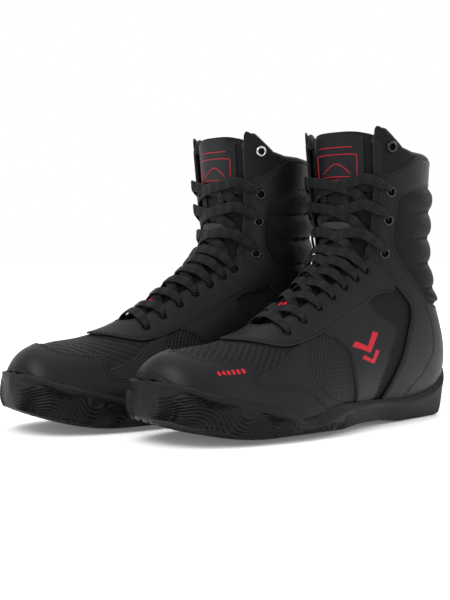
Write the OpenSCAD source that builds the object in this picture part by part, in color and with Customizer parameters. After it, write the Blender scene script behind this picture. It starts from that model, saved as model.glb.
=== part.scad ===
/* [Boot] */
// Length of the boot from the heel to the tip of the toe
boot_length = 298; // [280:1:310]
// Width of the upper across the ball of the foot
ball_width = 95; // [88:1:102]
// Height of the collar's front corners above the floor
collar_height = 232; // [215:1:245]

/* [Pair] */
// Distance between the two boots' centrelines
pair_spacing = 100.5; // [100.5:0.5:160]
// How far the right boot stands ahead of the left one
stagger = 44.5; // [40:0.5:60]
// Angle that each boot turns out by
toe_out = 3.6; // [3:0.1:5]

/* [Materials] */
// Thickness of the textile base of the upper
base_thick = 1.2; // [1:0.1:1.4]
// Thickness of the smooth overlays
overlay_thick = 1.2; // [1:0.1:1.3]
// Thickness of the padded tongue
tongue_thick = 4; // [3:0.5:4]
// Width of the flat lace
lace_w = 6.4; // [5:0.1:6.6]
// Thickness of the flat lace
lace_t = 1.6; // [1.2:0.1:1.8]
// Outer radius of the metal eyelets
eyelet_r = 4.2; // [4:0.1:4.4]
// Radius of the hole in the metal eyelets
eyelet_bore = 2.5; // [2.4:0.1:2.6]

/* [Hidden] */

function side_nodes(side) = [for (n = [
    "outsole", "midsole", "insole_board", "footbed", "toe_puff", "heel_stiffener", "lining",
    "vamp", "toe_cap", "quarter_lateral", "quarter_medial", "saddle_lateral", "saddle_medial",
    "eyestay_lateral", "eyestay_medial", "facing_lateral", "facing_medial",
    "heel_strap_lateral", "heel_strap_medial", "heel_cap", "flex_rolls",
    "collar_corners", "eyelets", "tongue_base", "tongue_top", "tongue_label", "lace_keeper",
    "lace", "aglets", "pull_tab"]) str(side, n)];

// Scale from the reference last to the driving dimensions. boot_mid is how far the middle of a
// boot's whole length lies ahead of its origin.
length_k = boot_length / 298;
width_k = ball_width / 95;
height_k = collar_height / 232;
mid_length = boot_length / 2 - 3;
boot_mid = 5.13;
centre_y = stagger / 2 + boot_mid * length_k;

// The last's stations from the toe to the collar, in millimetres at the reference size:
// front or top point (forward, up), rear or bottom point (forward, up), lateral and medial
// half-widths, sideways shift, squareness towards the top and the bottom, and nose angle's sine.
last = [
    [298,  38, 298,  32,  0.6,  0.6, -8, 0.50, 0.30, 1.00],
    [294,  52, 295,  23, 20,   18,   -7, 0.50, 0.25, 0.85],
    [284,  61, 286,  19, 33,   31,   -5, 0.50, 0.20, 0.60],
    [266,  66, 267,  15, 42,   40,   -3, 0.52, 0.15, 0.35],
    [240,  69, 240,  11, 46,   44,   -1, 0.56, 0.12, 0.12],
    [212,  76, 208,   9, 49,   46,    1, 0.58, 0.12, 0],
    [185,  90, 172,  10, 46,   42,    2, 0.58, 0.14, 0],
    [160, 107, 136,  13, 41,   38,    3, 0.54, 0.18, 0],
    [140, 122,  98,  14, 38,   36,    2, 0.48, 0.25, 0],
    [128, 135,  52,  12, 38,   37,    1, 0.42, 0.34, 0],
    [121, 146,  14,  20, 39,   38,    0, 0.37, 0.40, 0],
    [119, 157,   5,  44, 40,   40,    0, 0.34, 0.42, 0],
    [119, 170,  20,  84, 41,   41,    0, 0.32, 0.44, 0],
    [119, 185,  31, 118, 42,   42,    0, 0.31, 0.45, 0],
    [120, 204,  31, 156, 43,   43,    0, 0.30, 0.46, 0],
    [124, 238,  27, 206, 44,   44,    0, 0.30, 0.46, 0]];

// Landmarks along the last, as station numbers, and round it, in degrees.
collar = 15;
throat_start = 5.3;
heel_rows = [10, 10.4, 10.8, 11.2, 11.6, 12.2];
tongue_split = 11.65;
tongue_end = 14.4;

// Layer offsets from the outside of the textile base.
gap = 0.5;
inside_base = -base_thick;
over1 = gap;
over1_out = gap + overlay_thick;
lining_out = inside_base - 2.2;
lining_in = lining_out - 1.8;
tongue_out = inside_base - lace_t - 1.6;
tongue_in = tongue_out - tongue_thick;
sole_in = over1_out + gap;

// Catmull-Rom blend of four values.
function blend4(a, b, c, d, f) =
    0.5 * (2 * b + (c - a) * f + (2 * a - 5 * b + 4 * c - d) * f * f
           + (3 * b - a - 3 * c + d) * f * f * f);

function station(t) =
    let (i = min(floor(t), collar - 1), f = t - i)
    blend4(last[max(i - 1, 0)], last[i], last[i + 1], last[min(i + 2, collar)], f);

// A point on the boot: t along the last, v round it in degrees from the top centreline
// (positive on the lateral side), o outwards in millimetres.
function spot(t, v, o) =
    let (s = station(t), g = max(0, min(1, s[9])), k = sqrt(1 - g * g),
         ty = s[0] * length_k, tz = s[1] * height_k,
         by = s[2] * length_k, bz = s[3] * height_k,
         len = norm([ty - by, tz - bz]), dy = (ty - by) / len, dz = (tz - bz) / len,
         h = cos(v), a = s[7], b = s[8], h0 = (b - a) / (a + b),
         peak = pow(1 - h0, a) * pow(1 + h0, b),
         swell = pow(max(0, 1 - h), a) * pow(max(0, 1 + h), b) / peak,
         half_w = (v >= 0 ? s[4] : s[5]) * width_k + o * k,
         ty2 = ty + dy * o * k + g * o, tz2 = tz + dz * o * k,
         by2 = by - dy * o * k + g * o, bz2 = bz - dz * o * k)
    [s[6] * width_k + sign(v) * half_w * swell,
     mid_length - ((ty2 + by2) / 2 + (ty2 - by2) / 2 * h),
     (tz2 + bz2) / 2 + (tz2 - bz2) / 2 * h];

// The same point with v running right round, 0 to 360, medial side last.
function round_spot(t, v, o) = spot(t, v > 180 ? v - 360 : v, o);

function smooth(lo, hi, x) = let (f = max(0, min(1, (x - lo) / (hi - lo)))) f * f * (3 - 2 * f);
function steps(lo, hi, n) = [for (i = [0:n]) lo + (hi - lo) * i / n];

// Fractions from 0 to 1: even, or crowded at the middle or at the end, where a section is flattest.
function even(n) = steps(0, 1, n);
function mid_crowded(n) = [for (k = steps(-1, 1, n)) 0.5 + 0.5 * sign(k) * pow(abs(k), 1.8)];
function end_crowded(n) = [for (k = steps(1, 0, n)) 1 - pow(k, 1.25)];

// Edge of the throat, where the two sides part over the tongue.
function throat(t) = 33 + 9 * smooth(9.5, 11, t);

// Walks a table of values at whole stations.
function table_at(table, first, t) =
    let (i = max(0, min(floor(t - first), len(table) - 2)), f = t - first - i)
    table[i] * (1 - f) + table[i + 1] * f;

// Closed solid between two grids of points that share their outline.
module grid_solid(outer, inner) {
    rows = len(outer);
    cols = len(outer[0]);
    total = rows * cols;
    function at(r, c) = r * cols + c;
    points = concat([for (row = outer) each row], [for (row = inner) each row]);
    skin = [for (r = [0:rows - 2], c = [0:cols - 2]) each
        [[at(r, c), at(r + 1, c), at(r + 1, c + 1)], [at(r, c), at(r + 1, c + 1), at(r, c + 1)]]];
    back = [for (f = skin) [f[2] + total, f[1] + total, f[0] + total]];
    rim = concat([for (c = [0:cols - 1]) at(0, c)], [for (r = [1:rows - 1]) at(r, cols - 1)],
                 [for (c = [cols - 2:-1:0]) at(rows - 1, c)], [for (r = [rows - 2:-1:1]) at(r, 0)]);
    edge = [for (i = [0:len(rim) - 1]) let (p = rim[i], q = rim[(i + 1) % len(rim)]) each
        [[p, q, q + total], [p, q + total, p + total]]];
    polyhedron(points = points, faces = concat(skin, back, edge), convexity = 10);
}

// Shell on the last between two offsets; v_lo and v_hi are functions of t, and fs are the
// fractions from one to the other.
module shell(ts, v_lo, v_hi, fs, o_in, o_out) {
    function ring(t, o) = [for (f = fs) let (v = v_lo(t) + (v_hi(t) - v_lo(t)) * f) round_spot(t, v, o(t, v))];
    grid_solid([for (t = ts) ring(t, o_out)], [for (t = ts) ring(t, o_in)]);
}

// Shell on one side of the boot: side is 1 for lateral, -1 for medial.
module side_shell(side, ts, v_lo, v_hi, fs, o_in, o_out) {
    n = len(fs) - 1;
    shell(ts, side > 0 ? v_lo : function(t) -v_hi(t), side > 0 ? v_hi : function(t) -v_lo(t),
          side > 0 ? fs : [for (i = [n:-1:0]) 1 - fs[i]], function(t, v) o_in, function(t, v) o_out);
}

// Shell with fixed edges and fixed offsets.
module panel(ts, v_lo, v_hi, fs, o_in, o_out)
    shell(ts, function(t) v_lo, function(t) v_hi, fs, function(t, v) o_in, function(t, v) o_out);

// Height of the tread above the floor: toe spring, a low arch and a bevelled heel.
function tread_z(p) =
    let (f = (mid_length - p[1]) / length_k)
    14 * pow(max(0, f - 222) / 76, 2) + 6 * pow(max(0, 20 - f) / 20, 2)
    + 3 * smooth(70, 105, f) * (1 - smooth(125, 160, f));
function floored(p, lift) = [p[0], p[1], max(p[2], tread_z(p) + lift)];

rim_v = [90, 88, 98, 107, 112, 119, 132, 146, 156, 154, 157, 172];
function sole_rim(t) = table_at(rim_v, 0, t);
function from_bottom(v) = 180 - abs(180 - v);

module outsole() color([0.10, 0.10, 0.11]) {
    ts = concat(steps(0, 3, 5), steps(3.7, 9, 7), [9.5, 10, 10.5, 10.9]);
    fs = mid_crowded(18);
    outer = [for (t = ts) [for (f = fs)
        let (rim = sole_rim(t), v = rim + (360 - 2 * rim) * f, b = from_bottom(v),
             o = sole_in + 2.3 + 1.5 * smooth(rim, 140, b) + 2.6 * smooth(148, 157, b) * smooth(0.3, 1.4, t)
             + 10 * smooth(146, 170, b) * smooth(1.4, 3.4, t) * smooth(11, 10, t))
        floored(round_spot(t, v, o), 0)]];
    inner = [for (t = ts) [for (f = fs)
        let (rim = sole_rim(t), v = rim + (360 - 2 * rim) * f, b = from_bottom(v),
             o = sole_in + 0.5 + 3.6 * smooth(148, 156, b) * smooth(0.4, 1.2, t))
        floored(round_spot(t, v, o), 3.2)]];
    grid_solid(outer, inner);
}

module midsole() color([0.16, 0.16, 0.17]) {
    ts = concat(steps(1.2, 3, 3), steps(3.7, 9, 7), steps(9.5, 10, 1));
    vs = [for (f = mid_crowded(8)) 158 + 44 * f];
    outer = [for (t = ts) [for (v = vs) floored(round_spot(t, v, sole_in + 2.6), 4.2)]];
    inner = [for (t = ts) [for (v = vs) floored(round_spot(t, v, sole_in), 6)]];
    grid_solid(outer, inner);
}

module insole_board() color([0.45, 0.40, 0.32])
    panel(concat(steps(0.9, 3, 3), steps(3.7, 9, 7), steps(9.5, 10, 1)), 158, 202, mid_crowded(8), 0.3, 1.4);

module footbed() color([0.13, 0.13, 0.14])
    panel(concat(steps(1.2, 3, 3), steps(3.8, 9, 6), [9.6]), 154, 206, mid_crowded(8),
          lining_in - 5, lining_in - 1.3);

module toe_puff() color([0.55, 0.53, 0.48])
    panel(steps(0.6, 2.4, 4), -84, 84, even(10), inside_base - 1.7, inside_base - 0.6);

module heel_stiffener() color([0.55, 0.53, 0.48])
    panel([10, 10.4, 10.8, 11.2, 11.6], 140, 220, mid_crowded(10), inside_base - 1.8, inside_base - 0.7);

// A textile sock under the whole upper, slit along the top centreline and open at the throat.
function lining_edge(t) = 2 + 64 * smooth(5.1, 5.9, t);
module lining() color([0.07, 0.07, 0.08])
    shell(concat(steps(0.3, 3, 4), [3.8, 4.6, 5.2, 5.8, 6.6, 7.6, 8.6, 9.3], heel_rows, [13, 13.9, 14.8]),
          function(t) lining_edge(t), function(t) 360 - lining_edge(t), mid_crowded(16),
          function(t, v) lining_in, function(t, v) lining_out);

module vamp() color([0.09, 0.09, 0.10])
    panel(concat(steps(0, 3, 5), steps(3.7, throat_start, 2)), -153, 153, even(18), inside_base, 0);

module quarter(side) color([0.09, 0.09, 0.10]) difference() {
    side_shell(side, concat(steps(throat_start + 0.05, 9.3, 6), heel_rows, steps(13, collar, 3)),
               function(t) throat(t), function(t) 153 + 26 * smooth(9, 10.6, t), end_crowded(13),
               inside_base, 0);
    lace_holes(side, hole_r);
    eyelet_holes(side, barrel_r + 0.3);
}

module toe_cap() color([0.17, 0.17, 0.18])
    panel(steps(0, 3, 5), -120, 120, even(14), over1, over1_out);

module saddle(side) color([0.15, 0.15, 0.16])
    side_shell(side, steps(6.6, 8.8, 5), function(t) 68, function(t) 118, even(5), over1, over1_out);

module eyestay(side) color([0.17, 0.17, 0.18]) difference() {
    side_shell(side, steps(throat_start + 0.05, 10.2, 8), function(t) throat(t), function(t) 62, even(3),
               over1, over1_out);
    lace_holes(side, hole_r);
}

module facing(side) color([0.15, 0.15, 0.16]) difference() {
    side_shell(side, steps(10.3, 14.1, 6), function(t) throat(t), function(t) 72, even(4), over1, over1_out);
    eyelet_holes(side, barrel_r + 0.3);
}

// Band that sweeps from the shaft's facing back and down round the heel to the sole.
module heel_strap(side) color([0.15, 0.15, 0.16])
    side_shell(side, steps(8.95, 11.6, 7), function(t) 76 + 54 * smooth(11.6, 8.95, t),
               function(t) 106 + 32 * smooth(11.6, 9.9, t), even(4), over1, over1_out);

module heel_cap() color([0.13, 0.13, 0.14])
    panel(steps(11.2, 12.4, 4), 146, 214, mid_crowded(10), over1 + 0.4, over1_out + 0.4);

// Padded achilles panel of stacked horizontal rolls.
roll_count = 6;
roll_depth = 4.5;
roll_low = 12.5;
roll_high = 14.45;
module flex_rolls() color([0.08, 0.08, 0.09])
    shell(steps(roll_low, roll_high, roll_count * 3), function(t) 144, function(t) 216, mid_crowded(8),
          function(t, v) over1 + 1.1,
          function(t, v) over1 + 1.6 + roll_depth * smooth(140, 156, from_bottom(v))
              * abs(sin(180 * roll_count * (t - roll_low) / (roll_high - roll_low))));

module collar_corners() color([0.09, 0.09, 0.10]) for (side = [1, -1]) difference() {
    side_shell(side, steps(14.15, collar, 2), function(t) throat(t), function(t) 78, even(4), over1, over1_out);
    eyelet_holes(side, barrel_r + 0.3);
}

// Padded tongue, sewn in below and free to fold back above the ankle.
function tongue_edge(t) = 14 + 42 * smooth(5.4, 6.3, t);
module tongue(t_lo, t_hi, rows) color([0.07, 0.07, 0.08])
    shell(steps(t_lo, t_hi, rows), function(t) -tongue_edge(t), function(t) tongue_edge(t), even(10),
          function(t, v) tongue_in, function(t, v) tongue_out);
module tongue_base() tongue(5.45, tongue_split, 12);
module tongue_top() tongue(tongue_split + 0.05, tongue_end, 4);

module tongue_label() color([0.75, 0.10, 0.15])
    panel(steps(13.5, 14.3, 3), -20, 20, even(6), tongue_out + 0.4, tongue_out + 1);

// Loop that holds the lace's tails against the tongue.
module lace_keeper() color([0.25, 0.25, 0.26])
    shell([10.5, 10.85], function(t) -19, function(t) 19, even(8),
          function(t, v) abs(v) > 15 ? tongue_out + 0.3 : tail_lie + lace_t / 2 + 0.3,
          function(t, v) abs(v) > 15 ? tongue_out + 0.7 : tail_lie + lace_t / 2 + 0.7);

// Lace holes punched in the instep, and metal eyelets up the shaft, as [t, v] on the last.
hole_rows = 7;
hole_r = 3.3;
barrel_r = eyelet_bore + 0.6;
lace_rows = concat([for (i = [0:hole_rows - 1]) [5.7 + i * 0.575, 45]],
                   [[10.7, 50], [12.3, 54], [13.45, 57], [14.5, 58]]);
laced_rows = len(lace_rows) - 1;

function unit(a) = a / norm(a);
function along(t, v, o) = unit(spot(t + 0.05, v, o) - spot(t - 0.05, v, o));
function round_last(t, v, o) = unit(spot(t, v + 1, o) - spot(t, v - 1, o));
function outward(t, v, o) = unit(cross(round_last(t, v, o), along(t, v, o)));

// Stands a child at a lace row on one side, with its +Z axis along the outward normal.
module stand_at(side, row) {
    n = outward(row[0], side * row[1], 0);
    translate(spot(row[0], side * row[1], 0)) rotate([0, acos(n[2]), atan2(n[1], n[0])]) children();
}

module lace_holes(side, r) for (i = [0:hole_rows - 1])
    stand_at(side, lace_rows[i]) cylinder(r = r, h = 10, center = true, $fn = 24);

module eyelet_holes(side, r) for (i = [hole_rows:laced_rows])
    stand_at(side, lace_rows[i]) cylinder(r = r, h = 12, center = true, $fn = 24);

// Metal eyelet: a barrel through the layers with a flange outside.
flange_t = 0.8;
module eyelet_ring() difference() {
    union() {
        translate([0, 0, over1_out + 0.3]) cylinder(r = eyelet_r, h = flange_t, $fn = 32);
        translate([0, 0, inside_base - 0.2])
            cylinder(r = barrel_r, h = over1_out - inside_base + 0.6, $fn = 32);
    }
    cylinder(r = eyelet_bore, h = 12, center = true, $fn = 32);
}

module eyelets() color([0.35, 0.35, 0.36])
    for (side = [1, -1], i = [hole_rows:laced_rows]) stand_at(side, lace_rows[i]) eyelet_ring();

// The lace's route as [t, v, o, turn, width]: turn is the flat lace's heading in the surface.
lace_under = inside_base - 0.5 - lace_t / 2;
lace_over = over1_out + 0.25 + lace_t / 2;
flange_over = over1_out + 0.3 + flange_t + 0.2 + lace_t / 2;
function row_over(i) = i < hole_rows ? lace_over : flange_over;
function tuck(i) = i < hole_rows ? [2.4, 0.3, 0.52] : [1.7, -0.4, 0.4];
function crossing(side, i) =
    let (a = lace_rows[i], b = lace_rows[i + 1], high = side > 0 ? 2.2 : 0.1, top = row_over(i + 1),
         ta = tuck(i), tb = tuck(i + 1))
    [[a[0], side * (a[1] - ta[0] - 0.4), lace_under, 0, ta[2]],
     [a[0] * 0.85 + b[0] * 0.15, side * 30, lace_under, 0, 1],
     [a[0] * 0.68 + b[0] * 0.32, side * 15, (lace_under + high) / 2 + 0.5, 0, 1],
     [(a[0] + b[0]) / 2, 0, high, 0, 1],
     [a[0] * 0.3 + b[0] * 0.7, -side * 15, (high + top) / 2, 0, 1],
     [a[0] * 0.12 + b[0] * 0.88, -side * 28, top + 0.7, 0, 1],
     [b[0], -side * (b[1] - 8), top + 0.1, 0, 0.9],
     [b[0], -side * (b[1] - tb[0]), top, 0, tb[2] + 0.05],
     [b[0], -side * b[1], tb[1], 0, tb[2]]];
function half_lace(side) =
    [for (i = [0:laced_rows - 2]) each crossing(i % 2 == 0 ? side : -side, i)];
tail_end = 6.7;
tail_lie = tongue_out + 1 + lace_t / 2;
function tail(side) =
    let (top = lace_rows[laced_rows - 1])
    concat([[top[0], side * (top[1] - 3), lace_under, 0, 0.6],
            [top[0] - 0.15, side * 36, lace_under, 0, 1],
            [top[0] - 0.45, side * 18, tail_lie, side * 30, 0.9],
            [top[0] - 0.75, side * 9, tail_lie, side * 65, 0.9]],
           [for (t = [12.2:-0.55:tail_end]) [t, side * 7, tail_lie, side * 90, 0.9]]);
function reversed(list) = [for (i = [len(list) - 1:-1:0]) list[i]];

// Sweeps a flat strap through its rings.
module strap(route, w, t) {
    spots = [for (p = route) spot(p[0], p[1], p[2])];
    end = len(route) - 1;
    rings = [for (i = [0:end])
        let (p = route[i], go = unit(spots[min(i + 1, end)] - spots[max(i - 1, 0)]),
             ref = along(p[0], p[1], 0) * cos(p[3]) + round_last(p[0], p[1], 0) * sin(p[3]),
             side = unit(ref - go * (ref * go)), up = cross(go, side))
        [for (k = [[1, 1], [-1, 1], [-1, -1], [1, -1]])
            spots[i] + side * k[0] * w * p[4] / 2 + up * k[1] * t / 2]];
    faces = concat([[0, 1, 2, 3]], [[for (k = [3:-1:0]) end * 4 + k]],
        [for (i = [0:end - 1], k = [0:3]) let (a = i * 4 + k, b = i * 4 + (k + 1) % 4)
            each [[a, b + 4, b], [a, a + 4, b + 4]]]);
    polyhedron(points = [for (r = rings) each r], faces = faces, convexity = 10);
}

function half_bar(side) = let (b = lace_rows[0])
    [[b[0], side * 11, lace_over, 0, 1], [b[0], side * 24, lace_over + 0.2, 0, 1],
     [b[0], side * 35, lace_over + 0.5, 0, 0.8], [b[0], side * (b[1] - 2.4), lace_over, 0, 0.58],
     [b[0], side * b[1], 0.3, 0, 0.52]];

module lace() color([0.12, 0.12, 0.12]) {
    half_a = concat(half_bar(1), half_lace(1));
    half_b = concat(half_bar(-1), half_lace(-1));
    end_side = laced_rows % 2 == 0 ? -1 : 1;
    strap(concat(reversed(concat(half_b, tail(-end_side))), concat(half_a, tail(end_side))), lace_w, lace_t);
}

// Stiff tips at the lace's two ends.
module aglets() color([0.75, 0.10, 0.15]) for (side = [1, -1])
    strap([for (t = [tail_end - 0.12, tail_end - 0.5]) [t, side * 7, tail_lie, side * 90, 1]], 3, 1.8);

module pull_tab() color([0.05, 0.05, 0.06]) {
    root = spot(tab_root, 180, 0);
    translate(root + [-tab_w / 2, tab_gap, 0]) rotate([90, 0, 90]) linear_extrude(tab_w) difference() {
        union() {
            translate([0, -0.9]) square([5, 1.8]);
            translate([tab_reach, 0]) circle(r = 2.9, $fn = 32);
            translate([tab_reach - 2.2, -2]) square([2.2, 4]);
        }
        translate([tab_reach, 0]) circle(r = 1.7, $fn = 32);
    }
}
tab_root = 14.85;
tab_w = 20;
tab_gap = 0.6;
tab_reach = 5.2;

// Each boot turns out about the middle of its sole; the right one is the left one mirrored.
module place_left() translate([pair_spacing / 2, centre_y, 0]) rotate(toe_out) children();
module place_right() translate([-pair_spacing / 2, centre_y - stagger, 0]) rotate(-toe_out)
    mirror([1, 0, 0]) children();

place_left() outsole();  // left_outsole
place_left() midsole();  // left_midsole
place_left() insole_board();  // left_insole_board
place_left() footbed();  // left_footbed
place_left() toe_puff();  // left_toe_puff
place_left() heel_stiffener();  // left_heel_stiffener
place_left() lining();  // left_lining
place_left() vamp();  // left_vamp
place_left() toe_cap();  // left_toe_cap
place_left() quarter(1);  // left_quarter_lateral
place_left() quarter(-1);  // left_quarter_medial
place_left() saddle(1);  // left_saddle_lateral
place_left() saddle(-1);  // left_saddle_medial
place_left() eyestay(1);  // left_eyestay_lateral
place_left() eyestay(-1);  // left_eyestay_medial
place_left() facing(1);  // left_facing_lateral
place_left() facing(-1);  // left_facing_medial
place_left() heel_strap(1);  // left_heel_strap_lateral
place_left() heel_strap(-1);  // left_heel_strap_medial
place_left() heel_cap();  // left_heel_cap
place_left() flex_rolls();  // left_flex_rolls
place_left() collar_corners();  // left_collar_corners
place_left() eyelets();  // left_eyelets
place_left() tongue_base();  // left_tongue_base
place_left() tongue_top();  // left_tongue_top
place_left() tongue_label();  // left_tongue_label
place_left() lace_keeper();  // left_lace_keeper
place_left() lace();  // left_lace
place_left() aglets();  // left_aglets
place_left() pull_tab();  // left_pull_tab
place_right() outsole();  // right_outsole
place_right() midsole();  // right_midsole
place_right() insole_board();  // right_insole_board
place_right() footbed();  // right_footbed
place_right() toe_puff();  // right_toe_puff
place_right() heel_stiffener();  // right_heel_stiffener
place_right() lining();  // right_lining
place_right() vamp();  // right_vamp
place_right() toe_cap();  // right_toe_cap
place_right() quarter(1);  // right_quarter_lateral
place_right() quarter(-1);  // right_quarter_medial
place_right() saddle(1);  // right_saddle_lateral
place_right() saddle(-1);  // right_saddle_medial
place_right() eyestay(1);  // right_eyestay_lateral
place_right() eyestay(-1);  // right_eyestay_medial
place_right() facing(1);  // right_facing_lateral
place_right() facing(-1);  // right_facing_medial
place_right() heel_strap(1);  // right_heel_strap_lateral
place_right() heel_strap(-1);  // right_heel_strap_medial
place_right() heel_cap();  // right_heel_cap
place_right() flex_rolls();  // right_flex_rolls
place_right() collar_corners();  // right_collar_corners
place_right() eyelets();  // right_eyelets
place_right() tongue_base();  // right_tongue_base
place_right() tongue_top();  // right_tongue_top
place_right() tongue_label();  // right_tongue_label
place_right() lace_keeper();  // right_lace_keeper
place_right() lace();  // right_lace
place_right() aglets();  // right_aglets
place_right() pull_tab();  // right_pull_tab
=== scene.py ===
"""Looks for a pair of laced boxing boots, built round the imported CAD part.

Every piece is drawn on the last, the surface that the CAD part is lofted on, in millimetres,
and is then placed in the row frame for the left or the right boot.
"""

import logging
import math
from dataclasses import dataclass, field
from enum import Enum
from typing import Any, Callable, ClassVar, Sequence

import bmesh
import bpy
import numpy as np
from mathutils import Matrix, Vector
from mathutils.geometry import delaunay_2d_cdt


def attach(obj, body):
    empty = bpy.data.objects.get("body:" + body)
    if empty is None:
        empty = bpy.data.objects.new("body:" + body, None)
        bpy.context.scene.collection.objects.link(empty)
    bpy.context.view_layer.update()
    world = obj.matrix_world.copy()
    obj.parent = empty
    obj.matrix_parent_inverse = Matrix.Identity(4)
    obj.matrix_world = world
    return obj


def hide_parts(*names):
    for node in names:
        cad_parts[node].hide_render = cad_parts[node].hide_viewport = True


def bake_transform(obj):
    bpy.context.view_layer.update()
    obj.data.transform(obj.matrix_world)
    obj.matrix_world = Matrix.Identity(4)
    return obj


LOG = logging.getLogger("boots")
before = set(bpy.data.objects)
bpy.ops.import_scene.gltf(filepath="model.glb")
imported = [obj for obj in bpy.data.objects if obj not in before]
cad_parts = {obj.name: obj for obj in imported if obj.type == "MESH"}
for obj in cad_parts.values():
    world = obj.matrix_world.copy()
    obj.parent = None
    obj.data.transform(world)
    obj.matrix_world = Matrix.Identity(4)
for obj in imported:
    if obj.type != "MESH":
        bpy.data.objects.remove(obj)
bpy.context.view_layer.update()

MM = 0.001
BOOT_LENGTH = 298.0
PAIR_SPACING = 100.5
STAGGER = 44.5
TOE_OUT = 3.6
CENTRE_Y = STAGGER / 2 + 5.13
MID_LENGTH = BOOT_LENGTH / 2 - 3

Outline = Sequence[tuple[float, float]]
Array = np.ndarray


# ---------------------------------------------------------------- the last


class Side(Enum):
    """Which boot of the pair."""

    LEFT = "left"
    RIGHT = "right"

    def to_row(self, points: Array) -> Array:
        """Places boot-local millimetres in the row frame, in metres.

        Args:
            points: An N by 3 array: sideways (lateral is positive), towards the heel, up.

        Returns:
            The same points in the row frame, in metres.
        """
        sign = 1.0 if self is Side.LEFT else -1.0
        turn = math.radians(TOE_OUT) * sign
        x, y = points[:, 0] * sign, points[:, 1]
        row_x = x * math.cos(turn) - y * math.sin(turn) + sign * PAIR_SPACING / 2
        row_y = x * math.sin(turn) + y * math.cos(turn) + CENTRE_Y
        if self is Side.RIGHT:
            row_y = row_y - STAGGER
        return np.stack([row_x, row_y, points[:, 2]], axis=1) * MM


def smooth(low: float, high: float, x: Array | float) -> Array:
    """Returns 0 below low, 1 above high and an S-curve between, for either order of the two."""
    f = np.clip((np.asarray(x, float) - low) / (high - low), 0.0, 1.0)
    return f * f * (3 - 2 * f)


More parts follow.
